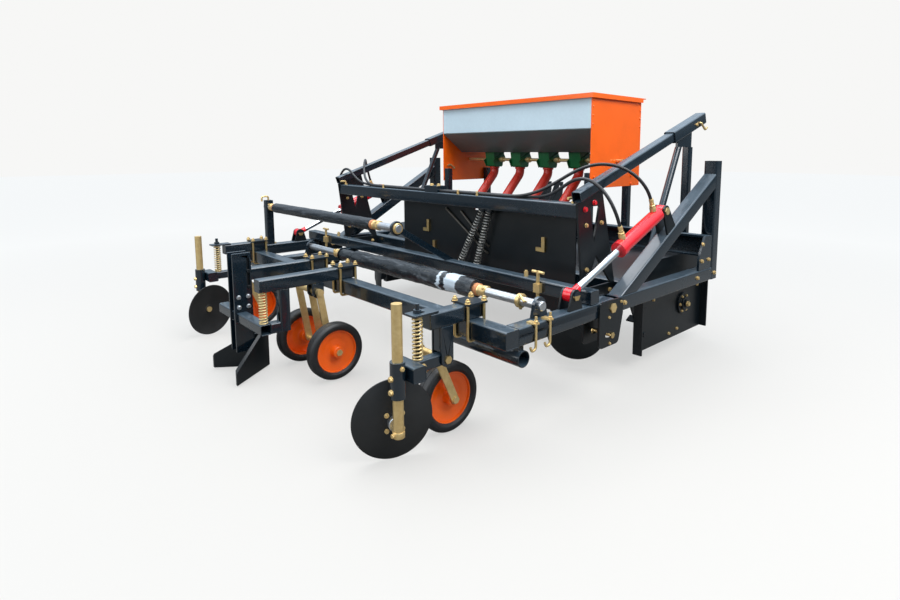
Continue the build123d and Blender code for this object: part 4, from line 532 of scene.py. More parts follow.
# The hopper's upper walls are painted pale blue as a painted sky highlight, and its lower walls grey-green as
# painted shade on their downward faces.
SHEEN_PAINTED_PANEL = Paint("sheet_paint_with_painted_sheen", "pale_panel", (0.56, 0.68, 0.74), 0.42, tone=0.05, tone_scale=3.0,
                   dust=0.03, coat=0.1)
SHADE_PAINTED_PANEL = Paint("sheet_paint_with_painted_shade", "grey_panel", (0.14, 0.19, 0.188), 0.42, tone=0.07,
                   tone_scale=3.0, dust=0.03, coat=0.1)
GREEN_PAINT = Paint("green_paint", "green_paint", (0.006, 0.13, 0.035), 0.36, tone=0.15, dust=0.06)
RED_TUBE = Paint("red_plastic_tube", "red_tube", (0.58, 0.025, 0.008), 0.4, tone=0.08, dust=0.02, coat=0.15)
RED_PAINT = Paint("crimson_cylinder_paint", "red_paint", (0.74, 0.006, 0.016), 0.24, tone=0.05, dust=0.0,
                  coat=0.6, coat_roughness=0.08)
CORE_CARD = Paint("orange_brown_core_card", "film", (0.5, 0.2, 0.08), 0.62, tone=0.15, dust=0.03, coat=0.0)
ZINC_LIGHT: Colour = (0.86, 0.64, 0.3)
ZINC_DARK: Colour = (0.7, 0.48, 0.2)
GOLD_ZINC = Plating("yellow_zinc", "gold_zinc", ZINC_LIGHT, ZINC_DARK, 0.3, metallic=0.72)
CLAMP_ZINC = Plating("yellow_zinc_with_painted_plates", "gold_zinc", ZINC_LIGHT, ZINC_DARK, 0.3,
                     painted=Painted("Z", 529.5, FRAME_PAINT.colour))
LOCK_ZINC = Plating("yellow_zinc_with_dark_stays", "gold_zinc", ZINC_LIGHT, ZINC_DARK, 0.3,
                    painted=Painted("X", 225.0, (0.05, 0.042, 0.03), half=195.0))
SPRING_STEEL = Plating("plated_spring_wire", "spring_steel", (0.84, 0.65, 0.33), (0.66, 0.48, 0.22), 0.32,
                       metallic=0.72)
BOARD_SPRING_STEEL = Plating("oiled_spring_wire", "spring_steel", (0.42, 0.41, 0.38), (0.26, 0.25, 0.23))
BRIGHT_STEEL = Plating("bare_machined_steel", "bright_steel", (0.66, 0.69, 0.72), (0.5, 0.51, 0.52), 0.3)
CHROME = Plating("chromed_rod_with_painted_eye", "chrome", (0.8, 0.82, 0.84), (0.72, 0.74, 0.76), 0.1, 0.06,
                 0.03, painted=Painted("Y", -240.0, RED_PAINT.colour, side=-1.0))
TYRE = Rubber("black_tyre_rubber", "tyre", (0.009, 0.009, 0.0095), (0.022, 0.022, 0.023), 0.5, 0.1)
HOSE = Rubber("black_hose_rubber", "hose", (0.008, 0.008, 0.009), (0.02, 0.02, 0.022), 0.42, 0.05)
NEAR_FILM = FilmWrap("near_roll_film", "film", (0.011, 0.015, 0.019), (0.6, 0.68, 0.74),
                     ((612.0, 640.0), (668.0, 752.0)))
UPPER_FILM = FilmWrap("upper_roll_film", "film", (0.01, 0.013, 0.017), (0.3, 0.35, 0.4), ())


Ring = list[bmesh.types.BMVert]


class Form:
    """A mesh in the making, in millimetres, gathered from turned, swept, folded and headed shapes."""

    def __init__(self) -> None:
        """Starts with an empty mesh."""
        self.mesh = bmesh.new()

    def ring(self, middle: Vector, across: Vector, up: Vector, radii: Sequence[float]) -> Ring:
        """Adds a ring of corners.

        Args:
            middle: the ring's middle.
            across: the direction of its first corner.
            up: the direction a quarter turn on.
            radii: each corner's distance from the middle.

        Returns:
            The corners in order.
        """
        turn = 2 * pi / len(radii)
        return [self.mesh.verts.new(middle + (across * cos(turn * step) + up * sin(turn * step)) * radius)
                for step, radius in enumerate(radii)]

    def skin(self, rings: Sequence[Ring], closed: bool = False) -> None:
        """Joins rings of equal count with quads, and caps both ends unless they meet.

        Args:
            rings: the rings in order.
            closed: whether the last ring joins the first.
        """
        pairs = list(zip(rings, rings[1:]))
        if closed:
            pairs.append((rings[-1], rings[0]))
        for first, second in pairs:
            for index in range(len(first)):
                after = (index + 1) % len(first)
                self.mesh.faces.new((first[index], first[after], second[after], second[index]))
        if not closed:
            self.mesh.faces.new(rings[0][::-1])
            self.mesh.faces.new(rings[-1])

    def turned(self, outline: Outline, place: Vector, axis: Vector, segments: int = 40,
               closed: bool = False) -> None:
        """Turns an outline round an axis.

        Args:
            outline: points as (distance along the axis, radius), in order.
            place: where the axis starts.
            axis: the axis's direction.
            segments: how many steps go round.
            closed: whether the outline is a ring itself, as in a tyre.
        """
        turn = axis.normalized().to_track_quat("Z", "Y").to_matrix()
        across, up, along = (turn.col[index].copy() for index in range(3))
        rings = [self.ring(place + along * far, across, up, [radius] * segments) for far, radius in outline]
        self.skin(rings, closed)

    def swept(self, points: Sequence[Vector], radius: float, sides: int = 12) -> None:
        """Sweeps a round section along points.

        Args:
            points: the line's points in order.
            radius: the section's radius.
            sides: how many corners the section has.
        """
        before = [points[0], *points[:-1]]
        after = [*points[1:], points[-1]]
        tangents = [(end - start).normalized() for start, end in zip(before, after)]
        across = tangents[0].orthogonal().normalized()
        rings = []
        for place, tangent in zip(points, tangents):
            across = (across - tangent * across.dot(tangent)).normalized()
            rings.append(self.ring(place, across, tangent.cross(across), [radius] * sides))
        self.skin(rings)

    def bent(self, corners: Sequence[Vector], radius: float, bend: float = 12.0, steps: int = 5) -> None:
        """Sweeps a round bar along straight runs with bends between them.

        Args:
            corners: the bar's ends and the corners between its runs.
            radius: the bar's radius.
            bend: how far from a corner its bend starts, at most just under half of a run.
            steps: how many steps a bend has.
        """
        places = [Vector(corner) for corner in corners]
        line = [places[0]]
        for before, corner, after in zip(places, places[1:], places[2:]):
            start, end = (corner + run.normalized() * min(bend, run.length * 0.45)
                          for run in (before - corner, after - corner))
            for step in range(steps + 1):
                share = step / steps
                line.append(start.lerp(corner, share).lerp(corner.lerp(end, share), share))
        self.swept([*line, places[-1]], radius)

    def square_cap(self, place: Vector, axis: Vector, half: float, depth: float = 3.0,
                   inset: float = 0.6) -> None:
        """Closes a square tube's end, a little inside it.

        Args:
            place: the middle of the tube's end.
            axis: the direction out of the tube, along X or Y.
            half: half the cap's side.
            depth: the cap's thickness.
            inset: how far the cap sits inside the end.
        """
        across = UPWARD.cross(axis) * half
        up = UPWARD * half
        face = place - axis * inset
        corners = [face - across - up, face + across - up, face + across + up, face - across + up]
        self.plate(corners, axis * -depth)

    def plate(self, outline: Sequence[Vector], thickness: Vector) -> None:
        """Thickens a flat outline.

        Args:
            outline: the corners of one face.
            thickness: the step to the other face.
        """
        near = [self.mesh.verts.new(corner) for corner in outline]
        far = [self.mesh.verts.new(corner + thickness) for corner in outline]
        self.skin([near, far])

    def fastener(self, place: Vector, axis: Vector, size: float, head: Head = Head.BOLT) -> None:
        """Adds a bolt head on its washer, a nut with the bolt's end in it, or a rivet.

        Args:
            place: the point on the surface.
            axis: the direction out of the surface.
            size: the thread's diameter, of which all other sizes are shares.
            head: what shows.
        """
        if head is Head.RIVET:
            self.turned([(-0.5, size * 0.9), (size * 0.25, size * 0.85), (size * 0.5, size * 0.6),
                         (size * 0.6, size * 0.25)], place, axis, 12)
            return
        way = axis.normalized()
        washer = size * 0.18
        self.turned([(-0.5, size), (washer * 0.8, size), (washer, size * 0.95)], place, axis, 18)
        height = size * 0.7 if head is Head.BOLT else size * 0.85
        hexagon = [(-0.2, size * 0.86), (height * 0.88, size * 0.86), (height, size * 0.74)]
        self.turned(hexagon, place + way * washer, axis, 6)
        if head is Head.NUT:
            thread = [(-1.0, size * 0.5), (size * 0.4, size * 0.5), (size * 0.5, size * 0.4)]
            self.turned(thread, place + way * (washer + height), axis, 12)

    def fasteners(self, places: Iterable[Vector], axis: Vector, size: float, head: Head = Head.BOLT) -> None:
        """Adds like fasteners at several places.

        Args:
            places: the points on the surface.
            axis: the direction out of the surface.
            size: the thread's diameter.
            head: what shows.
        """
        for place in places:
            self.fastener(place, axis, size, head)

    def piece(self, name: str, body: str | None, finish: Finish, smooth: float = 38.0) -> Object:
        """Makes the mesh a piece of the machine.

        Args:
            name: the piece's name.
            body: the CAD body it rides on, or None.
            finish: its finish.
            smooth: the angle in degrees above which an edge stays sharp.

        Returns:
            The piece.
        """
        bmesh.ops.recalc_face_normals(self.mesh, faces=self.mesh.faces)
        self.mesh.transform(Matrix.Scale(MILLIMETRE, 4))
        data = bpy.data.meshes.new(name)
        self.mesh.to_mesh(data)
        self.mesh.free()
        data.shade_smooth()
        data.set_sharp_from_angle(angle=radians(smooth))
        data.materials.append(finish.material())
        made = bpy.data.objects.new(name, data)
        bpy.context.scene.collection.objects.link(made)
        if body:
            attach(made, body)
        LOG.info("piece %s on %s: %d faces", name, body, len(data.polygons))
        return made


@dataclass
class Studio:
    """The pale floor, the soft light and the camera at the photograph's angle, in metres and degrees."""

    camera_place: Point = (2.541, -2.065, 1.1)
    yaw: float = 46.634
    pitch: float = 6.978
    lens: float = 22.18
    shift: Pair = (-0.0303, -0.0888)
    floor_size: float = 60.0
    floor_drop: float = 0.0008
    floor_colour: Colour = (0.16, 0.15, 0.136)
    floor_glow: Pair = (0.54, 0.71)
    glow_reach: Pair = (0.8, 6.0)
    white: Colour = (1.0, 1.0, 0.99)
    backdrop: float = 0.93
    low_sky: Colour = (0.07, 0.098, 0.12)
    high_sky: Colour = (1.16, 1.34, 1.54)
    high_from: float = 0.75

    def build(self) -> None:
        """Builds the whole stage."""
        bpy.context.scene.view_settings.view_transform = "Standard"
        self._camera()
        self._world()
        self._floor()
        self._light("key_panel", (3.4, 0.2, 3.8), (0.0, 0.1, 0.6), 2.6, 150.0)
        self._light("top_panel", (-0.4, 0.0, 4.6), (0.0, 0.0, 0.5), 4.0, 170.0)
        self._light("left_panel", (-1.2, -4.6, 2.4), (0.0, -0.2, 0.6), 2.6, 75.0)

    def _camera(self) -> None:
        """Sets the camera at the photograph's place and angle."""
        data = bpy.data.cameras.new("photo_camera")
        data.lens = self.lens
        data.sensor_width = 36.0
        data.shift_x, data.shift_y = self.shift
        data.clip_end = 200.0
        camera = bpy.data.objects.new("photo_camera", data)
        camera.location = self.camera_place
        camera.rotation_euler = Euler((radians(90.0 - self.pitch), 0.0, radians(self.yaw)), "XYZ")
        bpy.context.scene.collection.objects.link(camera)
        bpy.context.scene.camera = camera

    def _world(self) -> None:
        """Sets a soft sky for light, and a near-white backdrop for what the camera sees behind the floor."""
        world = bpy.data.worlds.new("studio_sky")
        world.use_nodes = True
        tree = Tree(world.node_tree)
        nodes = world.node_tree.nodes
        sky = nodes["Background"]
        height = tree.add("SeparateXYZ", Vector=tree.add("TexCoord").outputs["Generated"])
        rise = tree.span(height.outputs["Z"], 0.0, self.high_from)
        tree.fill(sky, Color=tree.mix(rise, rgba(self.low_sky), rgba(self.high_sky)))
        behind = tree.add("Background", Color=rgba(self.white), Strength=self.backdrop)
        seen = tree.add("LightPath").outputs["Is Camera Ray"]
        choice = tree.add("MixShader")
        for socket, into in zip((seen, sky.outputs[0], behind.outputs[0]), choice.inputs):
            tree.feed(socket, into)
        tree.fill(nodes["World Output"], Surface=choice.outputs[0])
        bpy.context.scene.world = world

    def _floor(self) -> None:
        """Lays a pale floor that brightens into the backdrop away from the machine."""
        half = self.floor_size / 2
        corners = [(-half, -half, 0), (half, -half, 0), (half, half, 0), (-half, half, 0)]
        data = bpy.data.meshes.new("studio_floor")
        data.from_pydata(corners, [], [(0, 1, 2, 3)])
        floor = bpy.data.objects.new("studio_floor", data)
        floor.location.z = -self.floor_drop
        bpy.context.scene.collection.objects.link(floor)
        material, tree, shader = start_material("pale_floor")
        away = tree.add("VectorMath", operation="LENGTH", Vector=tree.object_place()).outputs["Value"]
        glow = tree.span(away, *self.glow_reach, *self.floor_glow)
        seen = tree.math("MULTIPLY", glow, tree.add("LightPath").outputs["Is Camera Ray"])
        tree.fill(shader, Base_Color=rgba(self.floor_colour), Roughness=0.8, Emission_Color=rgba(self.white),
                  Emission_Strength=seen)
        data.materials.append(material)

    def _light(self, name: str, place: Point, target: Point, size: float, power: float) -> None:
        """Hangs a square soft light.

        Args:
            name: the light's name.
            place: where it hangs, in metres.
            target: what it faces, in metres.
            size: its side in metres.
            power: its power in watts.
        """
        data = bpy.data.lights.new(name, "AREA")
        data.size = size
        data.energy = power
        light = bpy.data.objects.new(name, data)
        light.location = place
        light.rotation_euler = (Vector(target) - Vector(place)).to_track_quat("-Z", "Y").to_euler()
        bpy.context.scene.collection.objects.link(light)


@dataclass
class SteelWork:
    """The CAD nodes that stay as they are: each gets its finish, smooth shading and broken edges."""

    edge: float = 1.6
    sharp_sheets: tuple[str, ...] = ("hopper_lid",)
    angle: float = 38.0
    join: float = 0.02
    kept: tuple[tuple[Finish, str], ...] = (
        (FRAME_PAINT, "front_side_frames upper_frame sloped_arms hitch_mast rear_frame_tubes unit_arms "
                      "roll_brackets right_lower_arm left_lower_arm hopper_legs share_bracket gear_drive"),
        (DARK_PAINT, "tiller_hood tiller_side_plates end_plates rear_board rotor share ridge_formers "
                     "rotor_bearing hinge_quadrants cylinder_lugs clevis_lugs"),
        (DISC_PAINT, "right_disc left_disc"),
        (CLAMP_ZINC, "rear_hardware"),
        (GOLD_ZINC, "front_pins right_shank left_shank right_fork left_fork centre_fork metering_shaft"),
        (LOCK_ZINC, "board_fittings"),
        (BRIGHT_STEEL, "pto_shaft"),
        (ORANGE_PAINT, "hopper_ends hopper_lid"),
        # The hopper's pale upper walls and grey-green lower walls are painted light and painted shade.
        (SHEEN_PAINTED_PANEL, "hopper_upper_walls"),
        (SHADE_PAINTED_PANEL, "hopper_lower_walls"),
        (GREEN_PAINT, "meter_boxes"),
        (RED_TUBE, "drop_tubes"),
        (RED_PAINT, "right_barrel left_barrel"),
        (CHROME, "right_rod left_rod"),
    )

    def build(self) -> None:
        """Dresses every kept node."""
        smoother = self._smoother()
        for finish, names in self.kept:
            for name in names.split():
                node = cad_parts[name]
                node.data.materials.clear()
                node.data.materials.append(finish.material())
                shade = node.modifiers.new("joined_smooth", "NODES")
                shade.node_group = smoother
                edges = node.modifiers.new("broken_edges", "BEVEL")
                edges.width = 0.0 if name in self.sharp_sheets else self.edge * MILLIMETRE
                edges.segments = 2
                edges.limit_method = "ANGLE"
                edges.angle_limit = radians(self.angle)
                edges.harden_normals = True
                LOG.info("node %s: %s", name, finish.name)

    def _smoother(self) -> NodeTree:
        """Joins split corners and shades smooth below an angle.

        Returns:
            The geometry node group.
        """
        tree = Tree(bpy.data.node_groups.new("join_and_smooth", "GeometryNodeTree"))
        for way in ("INPUT", "OUTPUT"):
            tree.tree.interface.new_socket("Geometry", in_out=way, socket_type="NodeSocketGeometry")
        join = tree.add("GeometryNodeMergeByDistance", Geometry=tree.add("NodeGroupInput").outputs[0],
                        Distance=self.join * MILLIMETRE)
        bend = tree.add("GeometryNodeInputMeshEdgeAngle")
        sharp = tree.add("FunctionNodeCompare", operation="GREATER_THAN")
        tree.feed(bend.outputs["Unsigned Angle"], sharp.inputs[0])
        tree.feed(radians(self.angle), sharp.inputs[1])
        shade = tree.add("GeometryNodeSetMeshNormal", Remove_Custom=True, Mesh=join.outputs[0],
                         Edge_Sharpness=sharp.outputs[0])
        tree.fill(tree.add("NodeGroupOutput"), Geometry=shade.outputs[0])
        return tree.tree


@dataclass
class FilmRoll:
    """A wound film roll on its shaft, with the core's ends and a clamping cone at each end."""

    name: str
    left: float
    right: float
    radius: float
    shaft_left: float
    shaft_right: float
    y: float
    z: float
    film: FilmWrap
    thin_until: float = -2000.0
    thin_by: float = 0.0
    crease: float = 1.0
    crease_room: float = 2.4
    thin_run: float = 30.0
    shaft_radius: float = 19.0
    core_wall: float = 6.0
    core_sheet: float = 4.0
    core_grip: float = 30.0
    overhang: float = 22.0
    cone: float = 48.0
    step: float = 9.0
    segments: int = 56
    end_rings: tuple[Pair, ...] = ((-0.5, 0.72), (1.5, 0.86))

    @property
    def core(self) -> float:
        """The core's outer radius."""
        return max(self.shaft_radius + self.core_wall, self.radius - 3 * self.core_wall)

    @property
    def start(self) -> Vector:
        """The point on the shaft's axis at X 0."""
        return Vector((0.0, self.y, self.z))

    def build(self) -> None:
        """Builds the film, the core and the shaft with its cones."""
        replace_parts(self._film(), self.name)
        tube = Form()
        core, sheet = self.core, self.core_sheet
        for near, far in ((self.left - self.overhang, self.left + self.core_grip),
                          (self.right - self.core_grip, self.right + self.overhang)):
            tube.turned([(near, core - sheet), (near, core - 1), (near + 1, core), (far - 1, core),
                         (far, core - 1), (far, core - sheet)], self.start, SIDEWAYS, 48)
        tube.piece(self.name + "_core", self.name, CORE_CARD)
        self._shaft()

    def _wound_radius(self, x: float, step: int) -> float:
        """The film's radius at a place on it.

        Args:
            x: the place along the roll.
            step: the place's step round the roll.

        Returns:
            The radius, with the creases' depth.
        """
        angle = 2 * pi * step / self.segments
        broad = noise.noise(Vector((x * 0.009, 2.2 * cos(angle), 2.2 * sin(angle)))) * 1.7
        fine = noise.noise(Vector((x * 0.05, cos(angle), sin(angle)))) * 0.9
        full = min(max((x - self.thin_until) / self.thin_run, 0.0), 1.0)
        crease = max(-2.0, min(2.2, (broad + fine) * self.crease))
        return self.radius - self.crease_room - self.thin_by * (1.0 - full) + crease

    def _film(self) -> Object:
        """Builds the wound film with its wrinkles and uneven ends.

        Returns:
            The film's piece.
        """
        form = Form()
        forward = BACKWARD * -1

        def ring(x: float, radii: Sequence[float]) -> Ring:
            """A ring of the film at a place along the roll."""
            return form.ring(self.start + SIDEWAYS * x, forward, UPWARD, radii)

        steps = int((self.right - self.left) / self.step)
        rings = []
        for step in range(steps + 1):
            x = self.left + (self.right - self.left) * step / steps
            drawn_in = 1.6 if step in (0, steps) else 0.0
            rings.append(ring(x, [self._wound_radius(x, index) - drawn_in for index in range(self.segments)]))
        ends = [(1.0, self.core - 1.0), *((depth, self.radius * share) for depth, share in self.end_rings)]
        left = [ring(self.left + depth, [radius] * self.segments) for depth, radius in ends]
        right = [ring(self.right - depth, [radius] * self.segments) for depth, radius in ends]
        form.skin(left + rings + right[::-1])
        return form.piece(self.name + "_film", self.name, self.film, 60.0)

    def _shaft(self) -> None:
        """Builds the shaft, its cones and their collars."""
        shaft = Form()
        shaft.turned([(self.shaft_left, self.shaft_radius - 2), (self.shaft_left + 2, self.shaft_radius),
                      (self.shaft_right - 2, self.shaft_radius), (self.shaft_right, self.shaft_radius - 2)],
                     self.start, SIDEWAYS, 32)
        shaft.piece(self.name + "_shaft", self.name, BRIGHT_STEEL)
        cones = Form()
        tip = self.shaft_radius + self.core_wall / 2
        rim = self.core - self.core_wall / 2
        screw_way = Vector((0, -0.7, 0.7))
        for sign, end in ((-1, self.left - self.overhang), (1, self.right + self.overhang)):
            place = self.start + SIDEWAYS * end
            cones.turned([(0, rim), (4, rim), (6, rim - 1.5), (self.cone * 0.62, tip + 1.5),
                          (self.cone * 0.64, tip + 3), (self.cone - 2, tip + 3), (self.cone, tip + 1)],
                         place, SIDEWAYS * sign, 40)
            screw = place + SIDEWAYS * (sign * self.cone * 0.82) + screw_way * (tip + 2.5)
            cones.fastener(screw, screw_way, 9.0)
        cones.piece(self.name + "_cones", self.name, GOLD_ZINC)


# Half sections of a press wheel's rim between the hub and the bead, as (distance outward, radius)
RIM_OUTSIDE: Outline = (
    (11, 27), (6.5, 30), (4.8, 36), (3.0, 57), (3.4, 62), (5.4, 67), (9.0, 80), (10.6, 92))
RIM_INSIDE: Outline = (
    (5.8, 92), (4.2, 80), (0.6, 67), (-1.6, 62), (-2.0, 57), (-4.4, 36), (-6.5, 30), (-11, 27))


@dataclass
class PressWheel:
    """A rubber-tyred press wheel: the moulded tyre, with its tread's groove, round the pressed rim."""

    name: str
    tyre_node: str
    rim_node: str
    side: Side
    x: float
    y: float
    hub_half: float
    hub_radius: float = 27.0
    bore: float = 11.0
    radius: float = 140.0
    width: float = 66.0
    rim_radius: float = 104.0
    rim_width: float = 46.0
    rim_sheet: float = 5.0
    shoulder: float = 18.0
    shoulder_steps: int = 7

    @property
    def place(self) -> Vector:
        """The wheel's middle."""
        return self.side.place(self.x, self.y, self.radius)

    def build(self) -> None:
        """Builds the tyre and the rim."""
        half = self.width / 2
        seat = self.rim_width / 2
        rim, round_off = self.rim_radius, self.shoulder
        outline = [(-seat, rim - 1), (seat, rim - 1), (seat + 3, rim + 3), (half - 3, rim + 5),
                   (half, rim + 9), (half, self.radius - round_off - 2)]
        for step in range(1, self.shoulder_steps):
            angle = pi / 2 * step / self.shoulder_steps
            outline.append((half - round_off + round_off * cos(angle),
                            self.radius - round_off + round_off * sin(angle)))
        outline += [(6.0, self.radius), (3.2, self.radius), (2.2, self.radius - 1.6)]
        mirrored = [(-along, radius) for along, radius in outline[2:]][::-1]
        tyre = Form()
        tyre.turned(outline + mirrored, self.place, SIDEWAYS, 84, closed=True)
        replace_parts(tyre.piece(self.name + "_tyre_moulding", self.name, TYRE), self.tyre_node)
        self._rim()

    def _rim(self) -> None:
        """Builds the pressed rim: a rolled bead, a dished and stepped web, and the hub."""
        seat = self.rim_width / 2
        edge = self.rim_radius - 1
        bead = self.rim_radius - self.rim_sheet
        hub, round_hub = self.hub_half, self.hub_radius
        outline = [(hub, self.bore), (hub, round_hub - 2), (hub - 2, round_hub), *RIM_OUTSIDE,
                   (12.6, bead - 1.5), (16, bead), (seat - 2, bead), (seat - 0.5, bead + 1), (seat, edge),
                   (-seat, edge), (0.5 - seat, bead + 1), (2 - seat, bead), (7.6, bead), *RIM_INSIDE,
                   (2 - hub, round_hub), (-hub, round_hub - 2), (-hub, self.bore)]
        rim = Form()
        rim.turned(outline, self.place, self.side.outward, 72, closed=True)
        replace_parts(rim.piece(self.name + "_pressed_rim", self.name, ORANGE_PAINT), self.rim_node)


@dataclass
class CoilSpring:
    """A wound spring with closed ends, standing between two seats."""

    foot: Vector
    top: Vector
    wire: float = 3.4
    turns: float = 12.5
    radius: float = 17.0
    steps: int = 22
    closed_turns: float = 0.6
    closed_rise: float = 0.06

    def line(self) -> list[Vector]:
        """The wire's line.

        Returns:
            Points along the wire in millimetres.
        """
        run = self.top - self.foot
        turn = run.normalized().to_track_quat("Z", "Y").to_matrix()
        total = int(self.turns * self.steps)
        open_turns = self.turns - 2 * self.closed_turns
        points = []
        for step in range(total + 1):
            share = step / total
            lift = min(max((share * self.turns - self.closed_turns) / open_turns, 0.0), 1.0)
            rise = self.closed_rise * share + (1.0 - self.closed_rise) * lift
            along = self.wire + (run.length - 2 * self.wire) * rise
            angle = 2 * pi * self.turns * share
            out = Vector((self.radius * cos(angle), self.radius * sin(angle), along))
            points.append(self.foot + turn @ out)
        return points


@dataclass
class HydraulicHose:
    """A pressed hose from a cylinder's port to the tee block on the upper beam."""

    name: str
    side: Side
    port: Point
    leaving: Point
    route: tuple[Point, ...]
    into: Point
    radius: float = 8.0
    first: float = 48.0
    held_from: int = 3

    def build(self) -> Object:
        """Returns:
            The hose's piece.
        """
        port = Vector(self.port)
        bend = port + Vector(self.leaving).normalized() * self.first
        controls = self.side.places(port, bend, *self.route, self.into)
        line = self._spline(controls)
        form = Form()
        form.swept(line, self.radius, 14)
        made = form.piece(self.name, None, HOSE)
        start = self.side.place(*self.route[self.held_from])
        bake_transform(made)
        length = sum((after - before).length for before, after in zip(line, line[1:]))
        return made

    def _spline(self, controls: Sequence[Vector]) -> list[Vector]:
        """Reads points from the route's spline.

        Args:
            controls: the route's points in millimetres.

        Returns:
            Points along the spline in millimetres.
        """
        data = bpy.data.curves.new(self.name + "_route", "CURVE")
        data.dimensions = "3D"
        data.resolution_u = 8
        spline = data.splines.new("NURBS")
        spline.points.add(len(controls) - 1)
        for point, control in zip(spline.points, controls):
            point.co = (*control, 1.0)
        spline.order_u = 3
        spline.use_endpoint_u = True
        carrier = bpy.data.objects.new(self.name + "_route", data)
        read = bpy.data.meshes.new_from_object(carrier)
        points = [vertex.co.copy() for vertex in read.vertices]
        bpy.data.meshes.remove(read)
        bpy.data.objects.remove(carrier)
        bpy.data.curves.remove(data)
        return points


@dataclass
class FilmRolls:
    """The near roll low behind the hinge, and the upper roll on its post and ring."""

    near: FilmRoll = field(default_factory=lambda: FilmRoll(
        "near_roll", -280, 840, 45, -688, 1215, -465, 515, NEAR_FILM, thin_until=-150, thin_by=10,
        crease=1.8))
    upper: FilmRoll = field(default_factory=lambda: FilmRoll(
        "upper_roll", -1090, 90, 34, -1249, 328, -500, 728, UPPER_FILM))
    near_collar_x: float = 1088.0
    collar: Outline = ((0, 19.5), (0, 27), (2, 29), (18, 29), (20, 27), (20, 19.5))
    upper_nut_x: float = 313.0
    end_nut: Outline = ((0, 19.5), (0, 27), (7, 27), (9, 24), (12, 24), (12, 19.5))

    def build(self) -> None:
        """Builds both rolls, the near shaft's locking collar and the upper shaft's end nut."""
        self.near.build()
        self.upper.build()
        lock = Form()
        start = self.near.start + SIDEWAYS * self.near_collar_x
        lock.turned(self.collar, start, SIDEWAYS, 32, True)
        lock.bent([start + Vector(step) for step in ((10, 0, 24), (22, -20, 30), (52, -24, 8))], 6.0)
        lock.fastener(start + Vector((10, 0, -28)), UPWARD * -1, 8.0)
        lock.piece("near_roll_lock", "near_roll", GOLD_ZINC)
        end = Form()
        end.turned(self.end_nut, self.upper.start + SIDEWAYS * self.upper_nut_x, SIDEWAYS, 32, True)
        end.piece("upper_roll_end_nut", "upper_roll", GOLD_ZINC)


@dataclass
class PressWheels:
    """The two unit wheels and the middle pair, with half the length of their hubs."""

    unit: Pair = (931.0, -709.0)
    centre: Pair = (167.0, -778.0)
    unit_hub: float = 42.5
    centre_hub: float = 41.5

    def build(self) -> None:
        """Builds all four wheels."""
        for side in Side:
            word = side.word
            PressWheel(word + "_wheel", word + "_tyre", word + "_wheel_rim", side, *self.unit,
                       self.unit_hub).build()
            PressWheel("centre_wheel_" + word, "centre_tyre_" + word, "centre_rim_" + word, side,
                       *self.centre, self.centre_hub).build()


@dataclass
class Springs:
    """The units' and middle arm's down-pressure springs, and the pair that holds the board."""

    unit_foot: Point = (1015, -915, 368)
    unit_top: Point = (1015, -915, 530)
    unit_keep: float = 0.91
    centre_foot: Point = (80, -1085, 320)
    centre_top: Point = (80, -1085, 470)
    board_ends: tuple[tuple[Point, Point], ...] = (
        ((192, 5, 446), (395, 5, 800)), ((333, 5, 446), (446, 5, 800)))
    board_wire: float = 3.6
    board_turns: float = 22.0
    seat: float = 14.0
    held_above: Point = (0.42, 0.005, 0.78)
    held_below: Point = (0.262, 0.005, 0.47)

    def build(self) -> None:
        """Builds every spring."""
        for side in Side:
            foot, top = side.places(self.unit_foot, self.unit_top)
            made = self._wound(side.word + "_spring", side.word + "_unit", CoilSpring(foot, top))
            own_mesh(made)
        centre = CoilSpring(Vector(self.centre_foot), Vector(self.centre_top))
        self._wound("centre_spring", "rear_frame", centre)
        self._board_pair()

    def _wound(self, node: str, body: str, spring: CoilSpring) -> Object:
        """Builds a spring in a CAD node's place.

        Args:
            node: the CAD node.
            body: the CAD body it rides on.
            spring: the spring.

        Returns:
            The wire's piece.
        """
        form = Form()
        form.swept(spring.line(), spring.wire, 10)
        made = form.piece(node + "_wire", body, SPRING_STEEL)
        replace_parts(made, node)
        return made

    def _board_pair(self) -> None:
        """Builds the board's springs."""
        pair = Form()
        for ends in self.board_ends:
            foot, top = (Vector(end) for end in ends)
            way = (top - foot).normalized() * self.seat
            spring = CoilSpring(foot + way, top - way, self.board_wire, self.board_turns)
            pair.swept(spring.line(), spring.wire, 8)
        wires = pair.piece("board_spring_wires", None, BOARD_SPRING_STEEL)
        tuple(self.held_above)
        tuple(self.held_below)
        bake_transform(wires)
        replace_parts(wires, "board_springs")


